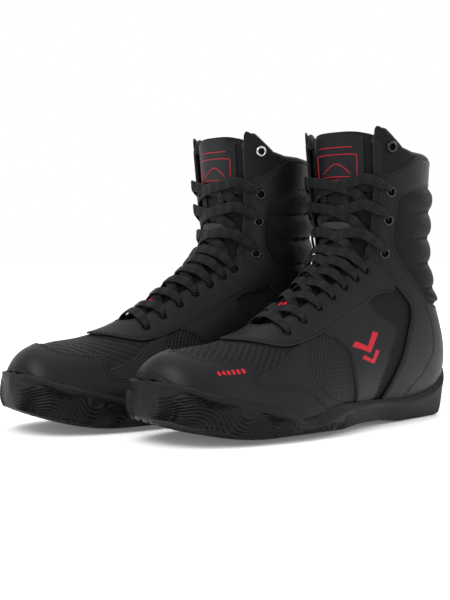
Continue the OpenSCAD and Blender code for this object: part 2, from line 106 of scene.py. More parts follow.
@dataclass(frozen=True)
class Last:
    """The boot's outer surface, lofted through stations from the toe's tip to the collar.

    A station holds its front or top point (forward, up), its rear or bottom point, the lateral and
    medial half-widths, sideways shift, squareness towards the top and the bottom, and nose angle.
    """

    stations: tuple[tuple[float, ...], ...] = (
        (298, 38, 298, 32, 0.6, 0.6, -8, 0.50, 0.30, 1.00),
        (294, 52, 295, 23, 20, 18, -7, 0.50, 0.25, 0.85),
        (284, 61, 286, 19, 33, 31, -5, 0.50, 0.20, 0.60),
        (266, 66, 267, 15, 42, 40, -3, 0.52, 0.15, 0.35),
        (240, 69, 240, 11, 46, 44, -1, 0.56, 0.12, 0.12),
        (212, 76, 208, 9, 49, 46, 1, 0.58, 0.12, 0),
        (185, 90, 172, 10, 46, 42, 2, 0.58, 0.14, 0),
        (160, 107, 136, 13, 41, 38, 3, 0.54, 0.18, 0),
        (140, 122, 98, 14, 38, 36, 2, 0.48, 0.25, 0),
        (128, 135, 52, 12, 38, 37, 1, 0.42, 0.34, 0),
        (121, 146, 14, 20, 39, 38, 0, 0.37, 0.40, 0),
        (119, 157, 5, 44, 40, 40, 0, 0.34, 0.42, 0),
        (119, 170, 20, 84, 41, 41, 0, 0.32, 0.44, 0),
        (119, 185, 31, 118, 42, 42, 0, 0.31, 0.45, 0),
        (120, 204, 31, 156, 43, 43, 0, 0.30, 0.46, 0),
        (124, 238, 27, 206, 44, 44, 0, 0.30, 0.46, 0),
    )

    def station(self, t: Array) -> Array:
        """Blends the stations by Catmull-Rom at each t and returns rows of ten values."""
        table = np.array(self.stations, float)
        end = len(table) - 1
        i = np.clip(np.floor(t).astype(int), 0, end - 1)
        f = (t - i)[..., None]
        a, b = table[np.maximum(i - 1, 0)], table[i]
        c, d = table[i + 1], table[np.minimum(i + 2, end)]
        return 0.5 * (2 * b + (c - a) * f + (2 * a - 5 * b + 4 * c - d) * f**2
                      + (3 * b - a - 3 * c + d) * f**3)

    def spot(self, t: Array | float, v: Array | float, o: Array | float = 0.0) -> Array:
        """Finds points on the boot.

        Args:
            t: Station number, 0 at the toe's tip and 15 at the collar.
            v: Degrees round the section from the top centreline, positive on the lateral side.
            o: Millimetres outwards from the outside of the textile base.

        Returns:
            Boot-local points in millimetres, with a last axis of three.
        """
        t, v, o = np.broadcast_arrays(np.asarray(t, float), np.asarray(v, float), np.asarray(o, float))
        v = (v + 180.0) % 360.0 - 180.0
        s = np.moveaxis(self.station(t), -1, 0)
        nose = np.clip(s[9], 0.0, 1.0)
        k = np.sqrt(1 - nose * nose)
        dy, dz = s[0] - s[2], s[1] - s[3]
        length = np.hypot(dy, dz)
        dy, dz = dy / length, dz / length
        h = np.cos(np.radians(v))
        a, b = s[7], s[8]
        h0 = (b - a) / (a + b)
        peak = (1 - h0) ** a * (1 + h0) ** b
        swell = np.maximum(0, 1 - h) ** a * np.maximum(0, 1 + h) ** b / peak
        half = np.where(v >= 0, s[4], s[5]) + o * k
        ty, tz = s[0] + (dy * k + nose) * o, s[1] + dz * o * k
        by, bz = s[2] - (dy * k - nose) * o, s[3] - dz * o * k
        return np.stack([s[6] + np.sign(v) * half * swell,
                         MID_LENGTH - ((ty + by) / 2 + (ty - by) / 2 * h),
                         (tz + bz) / 2 + (tz - bz) / 2 * h], axis=-1)

    def tangents(self, t: Array, v: Array, o: Array | float = 0.0) -> tuple[Array, Array, Array]:
        """Returns dP/dt, dP/dv (millimetres per degree) and the unit outward normal."""
        dt, dv = 0.02, 0.6
        along = (self.spot(t + dt, v, o) - self.spot(t - dt, v, o)) / (2 * dt)
        around = (self.spot(t, v + dv, o) - self.spot(t, v - dv, o)) / (2 * dv)
        normal = np.cross(around, along)
        normal /= np.maximum(np.linalg.norm(normal, axis=-1, keepdims=True), 1e-9)
        return along, around, normal

    def shift(self, t: Array, v: Array, move: Array) -> tuple[Array, Array]:
        """Moves surface points by short vectors in millimetres and returns the new t and v."""
        along, around, _ = self.tangents(t, v)
        aa, bb = (along**2).sum(-1), (around**2).sum(-1)
        ab = (along * around).sum(-1)
        ma, mb = (along * move).sum(-1), (around * move).sum(-1)
        det = np.maximum(aa * bb - ab * ab, 1e-9)
        return t + (ma * bb - mb * ab) / det, v + (mb * aa - ma * ab) / det


LAST = Last()


class Drape(Enum):
    """How a piece's weave lies on it: seen from the side, or wrapped round the boot."""

    SIDE = "side"
    WRAP = "wrap"


def weave_places(t: Array, v: Array, points: Array, drape: Drape) -> Array:
    """Returns the weave's flat coordinates in millimetres for points of the last."""
    if drape is Drape.SIDE:
        return points[:, 1:3].copy()
    cuts = np.linspace(0, 1, 25)[:, None]
    ring = LAST.spot(t[None, :], v[None, :] * cuts, 0.0)
    around = np.linalg.norm(np.diff(ring, axis=0), axis=2).sum(0) * np.sign(v)
    fine = np.linspace(0, 15, 301)
    line = LAST.spot(fine, 0.0, 0.0)
    length = np.concatenate([[0], np.cumsum(np.linalg.norm(np.diff(line, axis=0), axis=1))])
    return np.stack([around, np.interp(t, fine, length)], axis=1)


# ---------------------------------------------------------------- shapes


@dataclass
class Shape:
    """A closed shape in boot-local millimetres, with a weave place for each point."""

    points: Array
    faces: list[tuple[int, ...]]
    weave: Array

    @staticmethod
    def joined(shapes: Sequence["Shape"]) -> "Shape":
        """Returns one shape that holds several separate ones."""
        faces: list[tuple[int, ...]] = []
        start = 0
        for shape in shapes:
            faces += [tuple(i + start for i in face) for face in shape.faces]
            start += len(shape.points)
        return Shape(np.concatenate([s.points for s in shapes]), faces,
                     np.concatenate([s.weave for s in shapes]))


def grid_shell(t: Array, v: Array, outer: Array, inner: Array, drape: Drape = Drape.WRAP,
               change: Callable[[Array, bool], Array] | None = None) -> Shape:
    """Closes two grids of points on the last into a shell.

    Args:
        t: Stations, rows by columns.
        v: Degrees, rows by columns.
        outer: Offsets of the outside in millimetres, rows by columns.
        inner: Offsets of the inside.
        drape: How the weave lies.
        change: Moves the points of the outside (True) or the inside (False) afterwards.

    Returns:
        The closed shell.
    """
    rows, cols = t.shape
    total = rows * cols
    sheets = [LAST.spot(t, v, o).reshape(-1, 3) for o in (outer, inner)]
    places = weave_places(t.ravel(), v.ravel(), sheets[0], drape)
    if change is not None:
        sheets = [change(sheet, i == 0) for i, sheet in enumerate(sheets)]
    faces: list[tuple[int, ...]] = []
    for r in range(rows - 1):
        for c in range(cols - 1):
            a = r * cols + c
            faces.append((a, a + cols, a + cols + 1, a + 1))
            faces.append((a + 1 + total, a + cols + 1 + total, a + cols + total, a + total))
    rim = list(range(cols)) + [r * cols + cols - 1 for r in range(1, rows)]
    rim += [(rows - 1) * cols + c for c in range(cols - 2, -1, -1)]
    rim += [r * cols for r in range(rows - 2, 0, -1)]
    for i, a in enumerate(rim):
        b = rim[(i + 1) % len(rim)]
        faces.append((a, b, b + total, a + total))
    return Shape(np.concatenate(sheets), faces, np.concatenate([places, places]))


def curve_through(outline: Outline, step: float, corners: frozenset[int] = frozenset()) -> Array:
    """Rounds a closed outline on the last and spaces its points evenly.

    Args:
        outline: Corner points as (t, v).
        step: Spacing in millimetres.
        corners: Indices of the points that stay sharp.

    Returns:
        Points as rows of (t, v).
    """
    knots = np.array(outline, float)
    count = len(knots)
    pieces = []
    for i in range(count):
        a, b = knots[(i - 1) % count], knots[i]
        c, d = knots[(i + 1) % count], knots[(i + 2) % count]
        if i in corners:
            a = 2 * b - c
        if (i + 1) % count in corners:
            d = 2 * c - b
        f = np.linspace(0, 1, 24, endpoint=False)[:, None]
        pieces.append(0.5 * (2 * b + (c - a) * f + (2 * a - 5 * b + 4 * c - d) * f**2
                             + (3 * b - a - 3 * c + d) * f**3))
    dense = np.concatenate(pieces + [knots[:1]])
    places = LAST.spot(dense[:, 0], dense[:, 1], 1.0)
    run = np.concatenate([[0], np.cumsum(np.linalg.norm(np.diff(places, axis=0), axis=1))])
    ends = [0.0] + [run[24 * i] for i in sorted(corners) if i > 0] + [run[-1]]
    marks = np.concatenate([np.linspace(a, b, max(2, round((b - a) / step)), endpoint=False)
                            for a, b in zip(ends, ends[1:]) if b - a > 1e-6])
    return np.stack([np.interp(marks, run, dense[:, k]) for k in (0, 1)], axis=1)


def inside(points: Array, loop: Array) -> Array:
    """Tells which (t, v) points lie inside a closed loop."""
    x, y = points[:, 0][:, None], points[:, 1][:, None]
    ax, ay = loop[:, 0][None], loop[:, 1][None]
    bx, by = np.roll(loop[:, 0], -1)[None], np.roll(loop[:, 1], -1)[None]
    crosses = (ay > y) != (by > y)
    where = (bx - ax) * (y - ay) / np.where(by == ay, 1e-12, by - ay) + ax
    return (crosses & (x < where)).sum(1) % 2 == 1


def inward(loop: Array) -> Array:
    """Returns unit vectors in the surface that point into a closed loop, one per point."""
    places = LAST.spot(loop[:, 0], loop[:, 1], 1.0)
    tangent = np.roll(places, -1, 0) - np.roll(places, 1, 0)
    _, _, normal = LAST.tangents(loop[:, 0], loop[:, 1])
    side = np.cross(normal, tangent)
    side /= np.maximum(np.linalg.norm(side, axis=1, keepdims=True), 1e-9)
    t, v = LAST.shift(loop[:, 0], loop[:, 1], side * 0.4)
    return side if inside(np.stack([t, v], 1), loop).mean() > 0.5 else -side


def distance_to(places: Array, loops: Sequence[Array]) -> Array:
    """Returns each point's distance in millimetres to the nearest edge of the loops."""
    best = np.full(len(places), 1e9)
    for loop in loops:
        a = LAST.spot(loop[:, 0], loop[:, 1], 1.0)
        b = np.roll(a, -1, 0)
        for lo in range(0, len(places), 600):
            p = places[lo:lo + 600, None, :]
            f = np.clip(((p - a) * (b - a)).sum(2) / np.maximum(((b - a) ** 2).sum(1), 1e-12), 0, 1)
            gap = np.linalg.norm(p - a - (b - a) * f[..., None], axis=2).min(1)
            best[lo:lo + 600] = np.minimum(best[lo:lo + 600], gap)
    return best


@dataclass
class Panel:
    """A sheet of upper material cut to an outline on the last, with rounded edges.

    base is the height of its underside in millimetres and thick its thickness; extra adds height
    at (t, v, distance from the edge); sewn are the distances of the stitch lines from the edge.
    """

    outline: Outline
    base: float = 0.3
    thick: float = 1.1
    step: float = 3.0
    holes: Sequence[tuple[float, float, float]] = ()
    corners: frozenset[int] = frozenset()
    rounding: float = 0.8
    drape: Drape = Drape.SIDE
    sewn: Sequence[float] = ()
    extra: Callable[[Array, Array, Array], Array] | None = None
    loop: Array = field(init=False)
    cuts: list[Array] = field(init=False)

    def __post_init__(self) -> None:
        """Works out the rounded outline and the holes' outlines."""
        self.loop = curve_through(self.outline, 1.6, self.corners)
        self.cuts = [self.hole_loop(*hole) for hole in self.holes]

    @staticmethod
    def hole_loop(t: float, v: float, radius: float) -> Array:
        """Returns a punched hole's outline as rows of (t, v)."""
        turn = np.linspace(0, 2 * math.pi, 20, endpoint=False)
        at_t, at_v = np.full(20, t), np.full(20, v)
        along, _, normal = LAST.tangents(at_t, at_v)
        one = along / np.linalg.norm(along, axis=1, keepdims=True)
        two = np.cross(normal, one)
        move = radius * (np.cos(turn)[:, None] * one + np.sin(turn)[:, None] * two)
        return np.stack(LAST.shift(at_t, at_v, move), axis=1)

    def fill_points(self) -> Array:
        """Returns evenly spaced (t, v) points well inside the outline, with rings at its edge."""
        lo, hi = self.loop.min(0), self.loop.max(0)
        found = []
        row, t = 0, lo[0]
        while t < hi[0]:
            at = np.full(40, t)
            across = np.linspace(lo[1], hi[1], 40)
            along, around, _ = LAST.tangents(at, across)
            in_row = inside(np.stack([at, across], 1), self.loop)
            use = in_row if in_row.any() else np.ones(40, bool)
            per_t = float(np.linalg.norm(along, axis=1)[use].mean())
            scale = np.maximum(np.linalg.norm(around, axis=1), 0.02)
            run = np.concatenate([[0], np.cumsum((scale[1:] + scale[:-1]) / 2 * np.diff(across))])
            marks = np.arange((row % 2) * self.step / 2, run[-1], self.step)
            found.append(np.stack([np.full(len(marks), t), np.interp(marks, run, across)], 1))
            t += self.step * 0.87 / max(per_t, 1.0)
            row += 1
        points = np.concatenate(found)
        points = points[inside(points, self.loop)]
        for cut in self.cuts:
            points = points[~inside(points, cut)]
        places = LAST.spot(points[:, 0], points[:, 1], 1.0)
        rings = [0.12 * self.rounding, 0.45 * self.rounding, self.rounding]
        rings += [d + side for d in self.sewn for side in (-0.5, 0.0, 0.5)]
        rings.append(max(rings) + self.step * 0.45)
        kept = [points[distance_to(places, [self.loop, *self.cuts]) > max(rings) + self.step * 0.35]]
        for loop, sign, wanted in [(self.loop, 1, rings)] + [(cut, -1, rings[:3]) for cut in self.cuts]:
            into = inward(loop) * sign
            for ring in wanted:
                t_, v_ = LAST.shift(loop[:, 0], loop[:, 1], into * ring)
                ring_points = np.stack([t_, v_], 1)
                ring_points = ring_points[inside(ring_points, self.loop)]
                at = LAST.spot(ring_points[:, 0], ring_points[:, 1], 1.0)
                kept.append(ring_points[distance_to(at, [self.loop, *self.cuts]) > 0.9 * ring])
        return np.concatenate(kept)

    def shape(self) -> Shape:
        """Builds the sheet as a closed shape."""
        fill = self.fill_points()
        edges_of = [self.loop, *self.cuts]
        flat = np.concatenate([*edges_of, fill])
        border = sum(len(e) for e in edges_of)
        along, around, _ = LAST.tangents(flat[:, 0], flat[:, 1])
        scale = np.array([np.linalg.norm(along, axis=1).mean(), np.linalg.norm(around, axis=1).mean()])
        edges, start = [], 0
        for loop in edges_of:
            edges += [(start + i, start + (i + 1) % len(loop)) for i in range(len(loop))]
            start += len(loop)
        made = delaunay_2d_cdt([Vector(p) for p in flat * scale], edges, [], 0, 1e-6)
        spots = np.array([list(p) for p in made[0]]) / scale
        source = made[3]
        on_edge = np.array([any(i < border for i in ids) for ids in source])
        triangles = np.array([f for f in made[2] if len(f) == 3], int)
        middle = spots[triangles].mean(1)
        keep = inside(middle, self.loop)
        for cut in self.cuts:
            keep &= ~inside(middle, cut)
        triangles = triangles[keep]
        used = np.unique(triangles)
        renumber = np.full(len(spots), -1)
        renumber[used] = np.arange(len(used))
        triangles, spots, on_edge = renumber[triangles], spots[used], on_edge[used]
        t, v = spots[:, 0], spots[:, 1]
        gap = distance_to(LAST.spot(t, v, 1.0), edges_of)
        gap[on_edge] = 0
        f = np.clip(gap / self.rounding, 0, 1)
        height = self.base + self.thick * np.sqrt(1 - (1 - f) ** 2)
        for line in self.sewn:
            height -= 0.28 * np.exp(-(((gap - line) / 0.45) ** 2))
        if self.extra is not None:
            height = height + self.extra(t, v, gap)
        top = LAST.spot(t, v, height)
        under = LAST.spot(t, v, self.base)
        count = len(spots)
        below = np.arange(count, 2 * count)
        below[on_edge] = np.arange(count)[on_edge]
        points = np.concatenate([top, under])
        faces = [tuple(f) for f in triangles] + [tuple(below[f[::-1]]) for f in triangles]
        live = np.unique(np.array(faces))
        renumber = np.full(len(points), -1)
        renumber[live] = np.arange(len(live))
        weave = weave_places(t, v, top, self.drape)
        return Shape(points[live], [tuple(int(renumber[i]) for i in f) for f in faces],
                     np.concatenate([weave, weave])[live])

    def line(self, inset: float, height: float, part: tuple[float, float] = (0.0, 1.0)) -> Array:
        """Returns points along the outline, set in by inset and raised to height.

        Args:
            inset: Millimetres from the edge.
            height: Millimetres above the last.
            part: Share of the outline's points to take, from and to.

        Returns:
            Points in millimetres with their outward normals, as N by 6.
        """
        t, v = LAST.shift(self.loop[:, 0], self.loop[:, 1], inward(self.loop) * inset)
        places = LAST.spot(t, v, 1.0)
        lo, hi = int(part[0] * len(t)), int(math.ceil(part[1] * len(t)))
        keep = np.zeros(len(t), bool)
        keep[lo:hi] = True
        keep &= distance_to(places, [self.loop]) > 0.9 * inset - 0.01
        _, _, normal = LAST.tangents(t, v)
        lift = self.extra(t, v, np.full(len(t), inset)) if self.extra is not None else 0.0
        return np.concatenate([LAST.spot(t, v, height + lift), normal], axis=1)[keep]


def tube(line: Array, radius: float, sides: int = 6) -> Shape:
    """Sweeps a round cord along points with normals, with closed ends."""
    centre, normal = line[:, :3], line[:, 3:]
    go = np.gradient(centre, axis=0)
    go /= np.maximum(np.linalg.norm(go, axis=1, keepdims=True), 1e-9)
    side = np.cross(go, normal)
    side /= np.maximum(np.linalg.norm(side, axis=1, keepdims=True), 1e-9)
    up = np.cross(side, go)
    turn = np.linspace(0, 2 * math.pi, sides, endpoint=False)
    rings = (centre[:, None] + radius * (np.cos(turn)[None, :, None] * side[:, None]
                                         + np.sin(turn)[None, :, None] * up[:, None]))
    return ring_solid(rings)


def ring_solid(rings: Array) -> Shape:
    """Joins rings of points (count by sides by 3) into a closed solid with capped ends."""
    count, sides, _ = rings.shape
    faces: list[tuple[int, ...]] = [tuple(range(sides))[::-1]]
    faces.append(tuple((count - 1) * sides + k for k in range(sides)))
    for i in range(count - 1):
        for k in range(sides):
            a, b = i * sides + k, i * sides + (k + 1) % sides
            faces.append((a, b, b + sides, a + sides))
    run = np.concatenate([[0], np.cumsum(np.linalg.norm(np.diff(rings.mean(1), axis=0), axis=1))])
    weave = np.stack([np.tile(np.arange(sides, dtype=float), count), np.repeat(run, sides)], axis=1)
    return Shape(rings.reshape(-1, 3), faces, weave)


def stitches(line: Array, pitch: float = 3.1, length: float = 2.2, radius: float = 0.32) -> list[Shape]:
    """Lays separate stitches along a line.

    Args:
        line: Points with normals, as N by 6.
        pitch: Distance from one stitch to the next, in millimetres.
        length: Each stitch's length.
        radius: The thread's radius.

    Returns:
        One small shape per stitch.
    """
    centre = line[:, :3]
    gaps = np.linalg.norm(np.diff(centre, axis=0), axis=1)
    run = np.concatenate([[0], np.cumsum(gaps)])
    jumps = np.flatnonzero(gaps > 5.0)
    made = []
    for start in np.arange(pitch / 2, run[-1] - length, pitch):
        if any(run[j] - length < start < run[j + 1] for j in jumps):
            continue
        marks = start + length * np.array([0.0, 0.12, 0.5, 0.88, 1.0])
        at = np.stack([np.interp(marks, run, line[:, k]) for k in range(6)], axis=1)
        go = at[-1, :3] - at[0, :3]
        go /= max(np.linalg.norm(go), 1e-9)
        side = np.cross(go, at[2, 3:])
        side /= max(np.linalg.norm(side), 1e-9)
        up = np.cross(side, go)
        turn = np.linspace(0, 2 * math.pi, 6, endpoint=False)
        size = radius * np.array([0.35, 0.85, 1.0, 0.85, 0.35])
        sink = radius * np.array([-1.2, -0.2, 0.1, -0.2, -1.2])
        rings = (at[:, None, :3] + sink[:, None, None] * up
                 + size[:, None, None] * (np.cos(turn)[None, :, None] * side
                                          + np.sin(turn)[None, :, None] * up))
        made.append(ring_solid(rings))
    return made


# ---------------------------------------------------------------- finishes


def hex_colour(code: str) -> tuple[float, float, float, float]:
    """Turns an sRGB hex value into linear red, green, blue and alpha."""
    parts = [int(code[i:i + 2], 16) / 255 for i in (1, 3, 5)]
    linear = [c / 12.92 if c <= 0.04045 else ((c + 0.055) / 1.055) ** 2.4 for c in parts]
    return (*linear, 1.0)


def add(tree: bpy.types.NodeTree, kind: str, inputs: dict[Any, Any] | None = None,
        **settings: Any) -> bpy.types.Node:
    """Adds one shader node with its settings and links.

    Args:
        tree: The material's node tree.
        kind: The node's type without its ShaderNode prefix.
        inputs: Values or sockets for the node's inputs, by name or number.
        settings: The node's own properties.

    Returns:
        The new node.
    """
    made = tree.nodes.new("ShaderNode" + kind)
    for key, value in settings.items():
        setattr(made, key, value)
    for key, value in (inputs or {}).items():
        if isinstance(value, bpy.types.NodeSocket):
            tree.links.new(value, made.inputs[key])
        else:
            made.inputs[key].default_value = value
    return made


@dataclass(frozen=True)
class Finish:
    """A plain finish: a base colour with cloudy variation and a fine bump.

    grain is the bump's size and depth its height, both in millimetres.
    """

    name: str
    slot: str
    colour: str
    shade: str
    rough: float = 0.5
    metal: float = 0.0
    grain: float = 0.5
    depth: float = 0.05
    sheen: float = 0.0
    coat: float = 0.0
    specular: float = 0.16
    cache: ClassVar[dict[str, bpy.types.Material]] = {}

    def material(self) -> bpy.types.Material:
        """Returns the finish's material, made once."""
        if self.name not in Finish.cache:
            made = bpy.data.materials.new(self.name)
            made.use_nodes = True
            tree = made.node_tree
            tree.nodes.clear()
            colour, bump, rough = self.pattern(tree)
            inputs = {"Base Color": colour, "Roughness": rough, "Metallic": self.metal,
                      "Normal": bump, "Sheen Weight": self.sheen, "Coat Weight": self.coat,
                      "Specular IOR Level": self.specular}
            shader = add(tree, "BsdfPrincipled", inputs)
            add(tree, "OutputMaterial", {"Surface": shader.outputs[0]})
            Finish.cache[self.name] = made
        return Finish.cache[self.name]

    def places(self, tree: bpy.types.NodeTree) -> bpy.types.NodeSocket:
        """Returns the object's own coordinates in millimetres."""
        at = add(tree, "TexCoord")
        return add(tree, "Mapping", {"Vector": at.outputs["Object"], "Scale": (1000,) * 3}).outputs[0]

    def pattern(self, tree: bpy.types.NodeTree) -> tuple[Any, Any, Any]:
        """Returns colour, normal and roughness sockets for the finish."""
        at = self.places(tree)
        cloud = add(tree, "TexNoise", {"Vector": at, "Scale": 1 / 14, "Detail": 3.0})
        colour = add(tree, "Mix", {0: cloud.outputs[0], 6: hex_colour(self.shade),
                                   7: hex_colour(self.colour)}, data_type="RGBA")
        fine = add(tree, "TexVoronoi", {"Vector": at, "Scale": 1 / self.grain}, feature="SMOOTH_F1")
        bump = add(tree, "Bump", {"Height": fine.outputs[0], "Distance": self.depth * MM})
        rough = add(tree, "MapRange", {0: cloud.outputs[0], 3: self.rough - 0.06, 4: self.rough + 0.06})
        return colour.outputs[2], bump.outputs[0], rough.outputs[0]


@dataclass(frozen=True)
class Mesh(Finish):
    """A knitted mesh: two sets of yarns that cross at an angle and leave dark holes between.

    pitch_a and pitch_b are the yarns' spacings in millimetres, turn_a and turn_b their headings.
    """

    pitch_a: float = 1.6
    pitch_b: float = 1.6
    turn_a: float = 35.0
    turn_b: float = -35.0
    hole: str = "#050506"
    crisp: float = 0.35

    def pattern(self, tree: bpy.types.NodeTree) -> tuple[Any, Any, Any]:
        """Returns colour, normal and roughness sockets for the finish."""
        flat = add(tree, "UVMap", uv_map="weave").outputs[0]
        waves = []
        for pitch, turn in ((self.pitch_a, self.turn_a), (self.pitch_b, self.turn_b)):
            turned = add(tree, "Mapping", {"Vector": flat, "Rotation": (0, 0, math.radians(turn))})
            wave = add(tree, "TexWave", {"Vector": turned.outputs[0], "Scale": math.pi / 10 / pitch,
                                         "Distortion": 0.6, "Detail": 1.0, "Detail Scale": 2.0},
                       wave_type="BANDS", bands_direction="X", wave_profile="SIN")
            waves.append(wave.outputs["Fac"])
        yarn = add(tree, "Math", {0: waves[0], 1: waves[1]}, operation="MAXIMUM")
        solid = add(tree, "MapRange", {0: yarn.outputs[0], 1: self.crisp, 2: self.crisp + 0.3})
        cloud = add(tree, "TexNoise", {"Vector": flat, "Scale": 1 / 9, "Detail": 2.0})
        body = add(tree, "Mix", {0: cloud.outputs[0], 6: hex_colour(self.shade),
                                 7: hex_colour(self.colour)}, data_type="RGBA")
        colour = add(tree, "Mix", {0: solid.outputs[0], 6: hex_colour(self.hole),
                                   7: body.outputs[2]}, data_type="RGBA")
        bump = add(tree, "Bump", {"Height": yarn.outputs[0], "Distance": self.depth * MM})
        rough = add(tree, "MapRange", {0: solid.outputs[0], 3: self.rough + 0.2, 4: self.rough})
        return colour.outputs[2], bump.outputs[0], rough.outputs[0]


@dataclass(frozen=True)
class Ribbed(Finish):
    """A flat woven strap with raised cross ribs: a painted highlight makes the ribs lighter and painted
    shade darkens the hollows between them.

    pitch is the ribs' spacing in millimetres, counted along the strap.
    """

    pitch: float = 2.0
    # Painted shade: the dark colour painted into the hollows between the ribs.
    painted_valley_shade: str = "#060607"

    def pattern(self, tree: bpy.types.NodeTree) -> tuple[Any, Any, Any]:
        """Returns colour, normal and roughness sockets for the finish."""
        flat = add(tree, "UVMap", uv_map="weave").outputs[0]
        wave = add(tree, "TexWave", {"Vector": flat, "Scale": math.pi / 10 / self.pitch,
                                     "Phase Offset": math.pi / 2},
                   wave_type="BANDS", bands_direction="Y", wave_profile="SIN")
        cloud = add(tree, "TexNoise", {"Vector": flat, "Scale": 0.7, "Detail": 2.0})
        body = add(tree, "Mix", {0: cloud.outputs[0], 6: hex_colour(self.shade),
                                 7: hex_colour(self.colour)}, data_type="RGBA")
        # Painted shade and highlight: the colour runs from the dark hollow colour between the ribs to the
        # lighter body on the ribs.
        colour = add(tree, "Mix", {0: wave.outputs["Fac"], 6: hex_colour(self.painted_valley_shade),
                                   7: body.outputs[2]}, data_type="RGBA")
        bump = add(tree, "Bump", {"Height": wave.outputs["Fac"], "Distance": self.depth * MM})
        rough = add(tree, "MapRange", {0: cloud.outputs[0], 3: self.rough - 0.05, 4: self.rough + 0.05})
        return colour.outputs[2], bump.outputs[0], rough.outputs[0]


# Polyurethane-coated microfibre, calendered: fine even grain, a soft satin highlight.
SYNTHETIC = Finish("pu_microfibre", "synthetic", "#0f1012", "#0b0c0e", 0.42, grain=0.7, depth=0.05)
# The same, sueded for the throat's edging: duller and a little warmer.
SUEDE = Finish("sueded_microfibre", "synthetic", "#0b0b0c", "#080809", 0.8, grain=0.4, depth=0.08,
               sheen=0.15)
# Warp-knitted polyester with a diagonal rib over the toes.
RIB_MESH = Mesh("warp_knit_rib_mesh", "mesh", "#101113", "#0a0b0c", 0.5, depth=0.35,
                pitch_a=2.3, pitch_b=4.6, turn_a=52, turn_b=-40, crisp=0.45)
# Open diamond mesh at the ball of the foot, with a glossy yarn.
OPEN_MESH = Mesh("open_diamond_mesh", "mesh", "#141518", "#0e0f11", 0.4, depth=0.5,
                 pitch_a=2.7, pitch_b=2.7, turn_a=28, turn_b=-28, crisp=0.5)
# Fine air mesh over foam on the shaft.
AIR_MESH = Mesh("polyester_air_mesh", "mesh", "#0a0b0c", "#070708", 0.6, depth=0.3,
                pitch_a=1.5, pitch_b=1.7, turn_a=30, turn_b=-45, crisp=0.4)
TONGUE_MESH = Mesh("tongue_air_mesh", "tongue_mesh", "#090a0b", "#060707", 0.62, depth=0.3,
                   pitch_a=1.5, pitch_b=1.7, turn_a=30, turn_b=-45, crisp=0.4)
# Brushed polyester lining: matt and soft.
LINING = Mesh("brushed_knit_lining", "lining", "#0c0c0d", "#080809", 0.85, depth=0.15,
              pitch_a=1.2, pitch_b=1.2, turn_a=45, turn_b=-45, crisp=0.3)
# Moulded carbon-black rubber: dull, with a faint bloom.
RUBBER = Finish("moulded_rubber", "outsole", "#0d0e0f", "#0a0b0c", 0.5, grain=0.9, depth=0.03)
# Woven flat lace, tubular polyester, with a painted highlight on its ribs and painted shade between them.
LACE = Ribbed("woven_polyester_lace", "lace", "#232527", "#0e0f10", 0.5, depth=0.7, pitch=1.7)
WEBBING = Finish("nylon_webbing", "webbing", "#101113", "#0b0c0d", 0.6, grain=0.6, depth=0.15)
KEEPER = Finish("grosgrain_keeper", "webbing", "#2b2c2f", "#212225", 0.55, grain=0.5, depth=0.12)
THREAD = Finish("bonded_nylon_thread", "synthetic", "#0b0c0d", "#08090a", 0.45, grain=0.3, depth=0.02)
# The raw cut edge of a coated sheet shows its paler backing.
CUT_EDGE = Finish("cut_microfibre_edge", "synthetic", "#2b2d31", "#232529", 0.6, grain=0.4, depth=0.05)
SATIN = Finish("woven_satin_label", "label", "#0f1013", "#0b0c0e", 0.35, grain=0.35, depth=0.04)
# Screen-printed plastisol: opaque red with a slight gloss.
PRINT = Finish("plastisol_print", "label", "#b41b2b", "#a01725", 0.45, grain=0.5, depth=0.02)
# Stoved enamel on brass: deep gloss black.
ENAMEL = Finish("stoved_enamel_eyelet", "eyelet_metal", "#0d0e10", "#090a0b", 0.2, metal=0.3,
                grain=3.0, depth=0.01, coat=0.6)
NICKEL = Finish("nickel_plated_eyelet", "eyelet_metal", "#b9babd", "#a6a7aa", 0.22, metal=1.0,
                grain=3.0, depth=0.01)
AGLET = Finish("moulded_acetate_tip", "aglet", "#a91d29", "#94151f", 0.3, grain=2.0, depth=0.01)
BOARD = Finish("fibre_insole_board", "insole_board", "#6b5f4c", "#5c5140", 0.85, grain=0.6, depth=0.1)
FOAM = Finish("moulded_eva_foam", "midsole", "#232426", "#1c1d1f", 0.75, grain=0.8, depth=0.06)
SOCK = Mesh("footbed_cover_cloth", "footbed", "#1a1a1c", "#121214", 0.8, depth=0.15,
            pitch_a=1.4, pitch_b=1.4, turn_a=45, turn_b=-45, crisp=0.3)
STIFFENER = Finish("nonwoven_stiffener", "stiffener", "#8c8576", "#7c7567", 0.85, grain=0.5, depth=0.1)


# ---------------------------------------------------------------- placing pieces


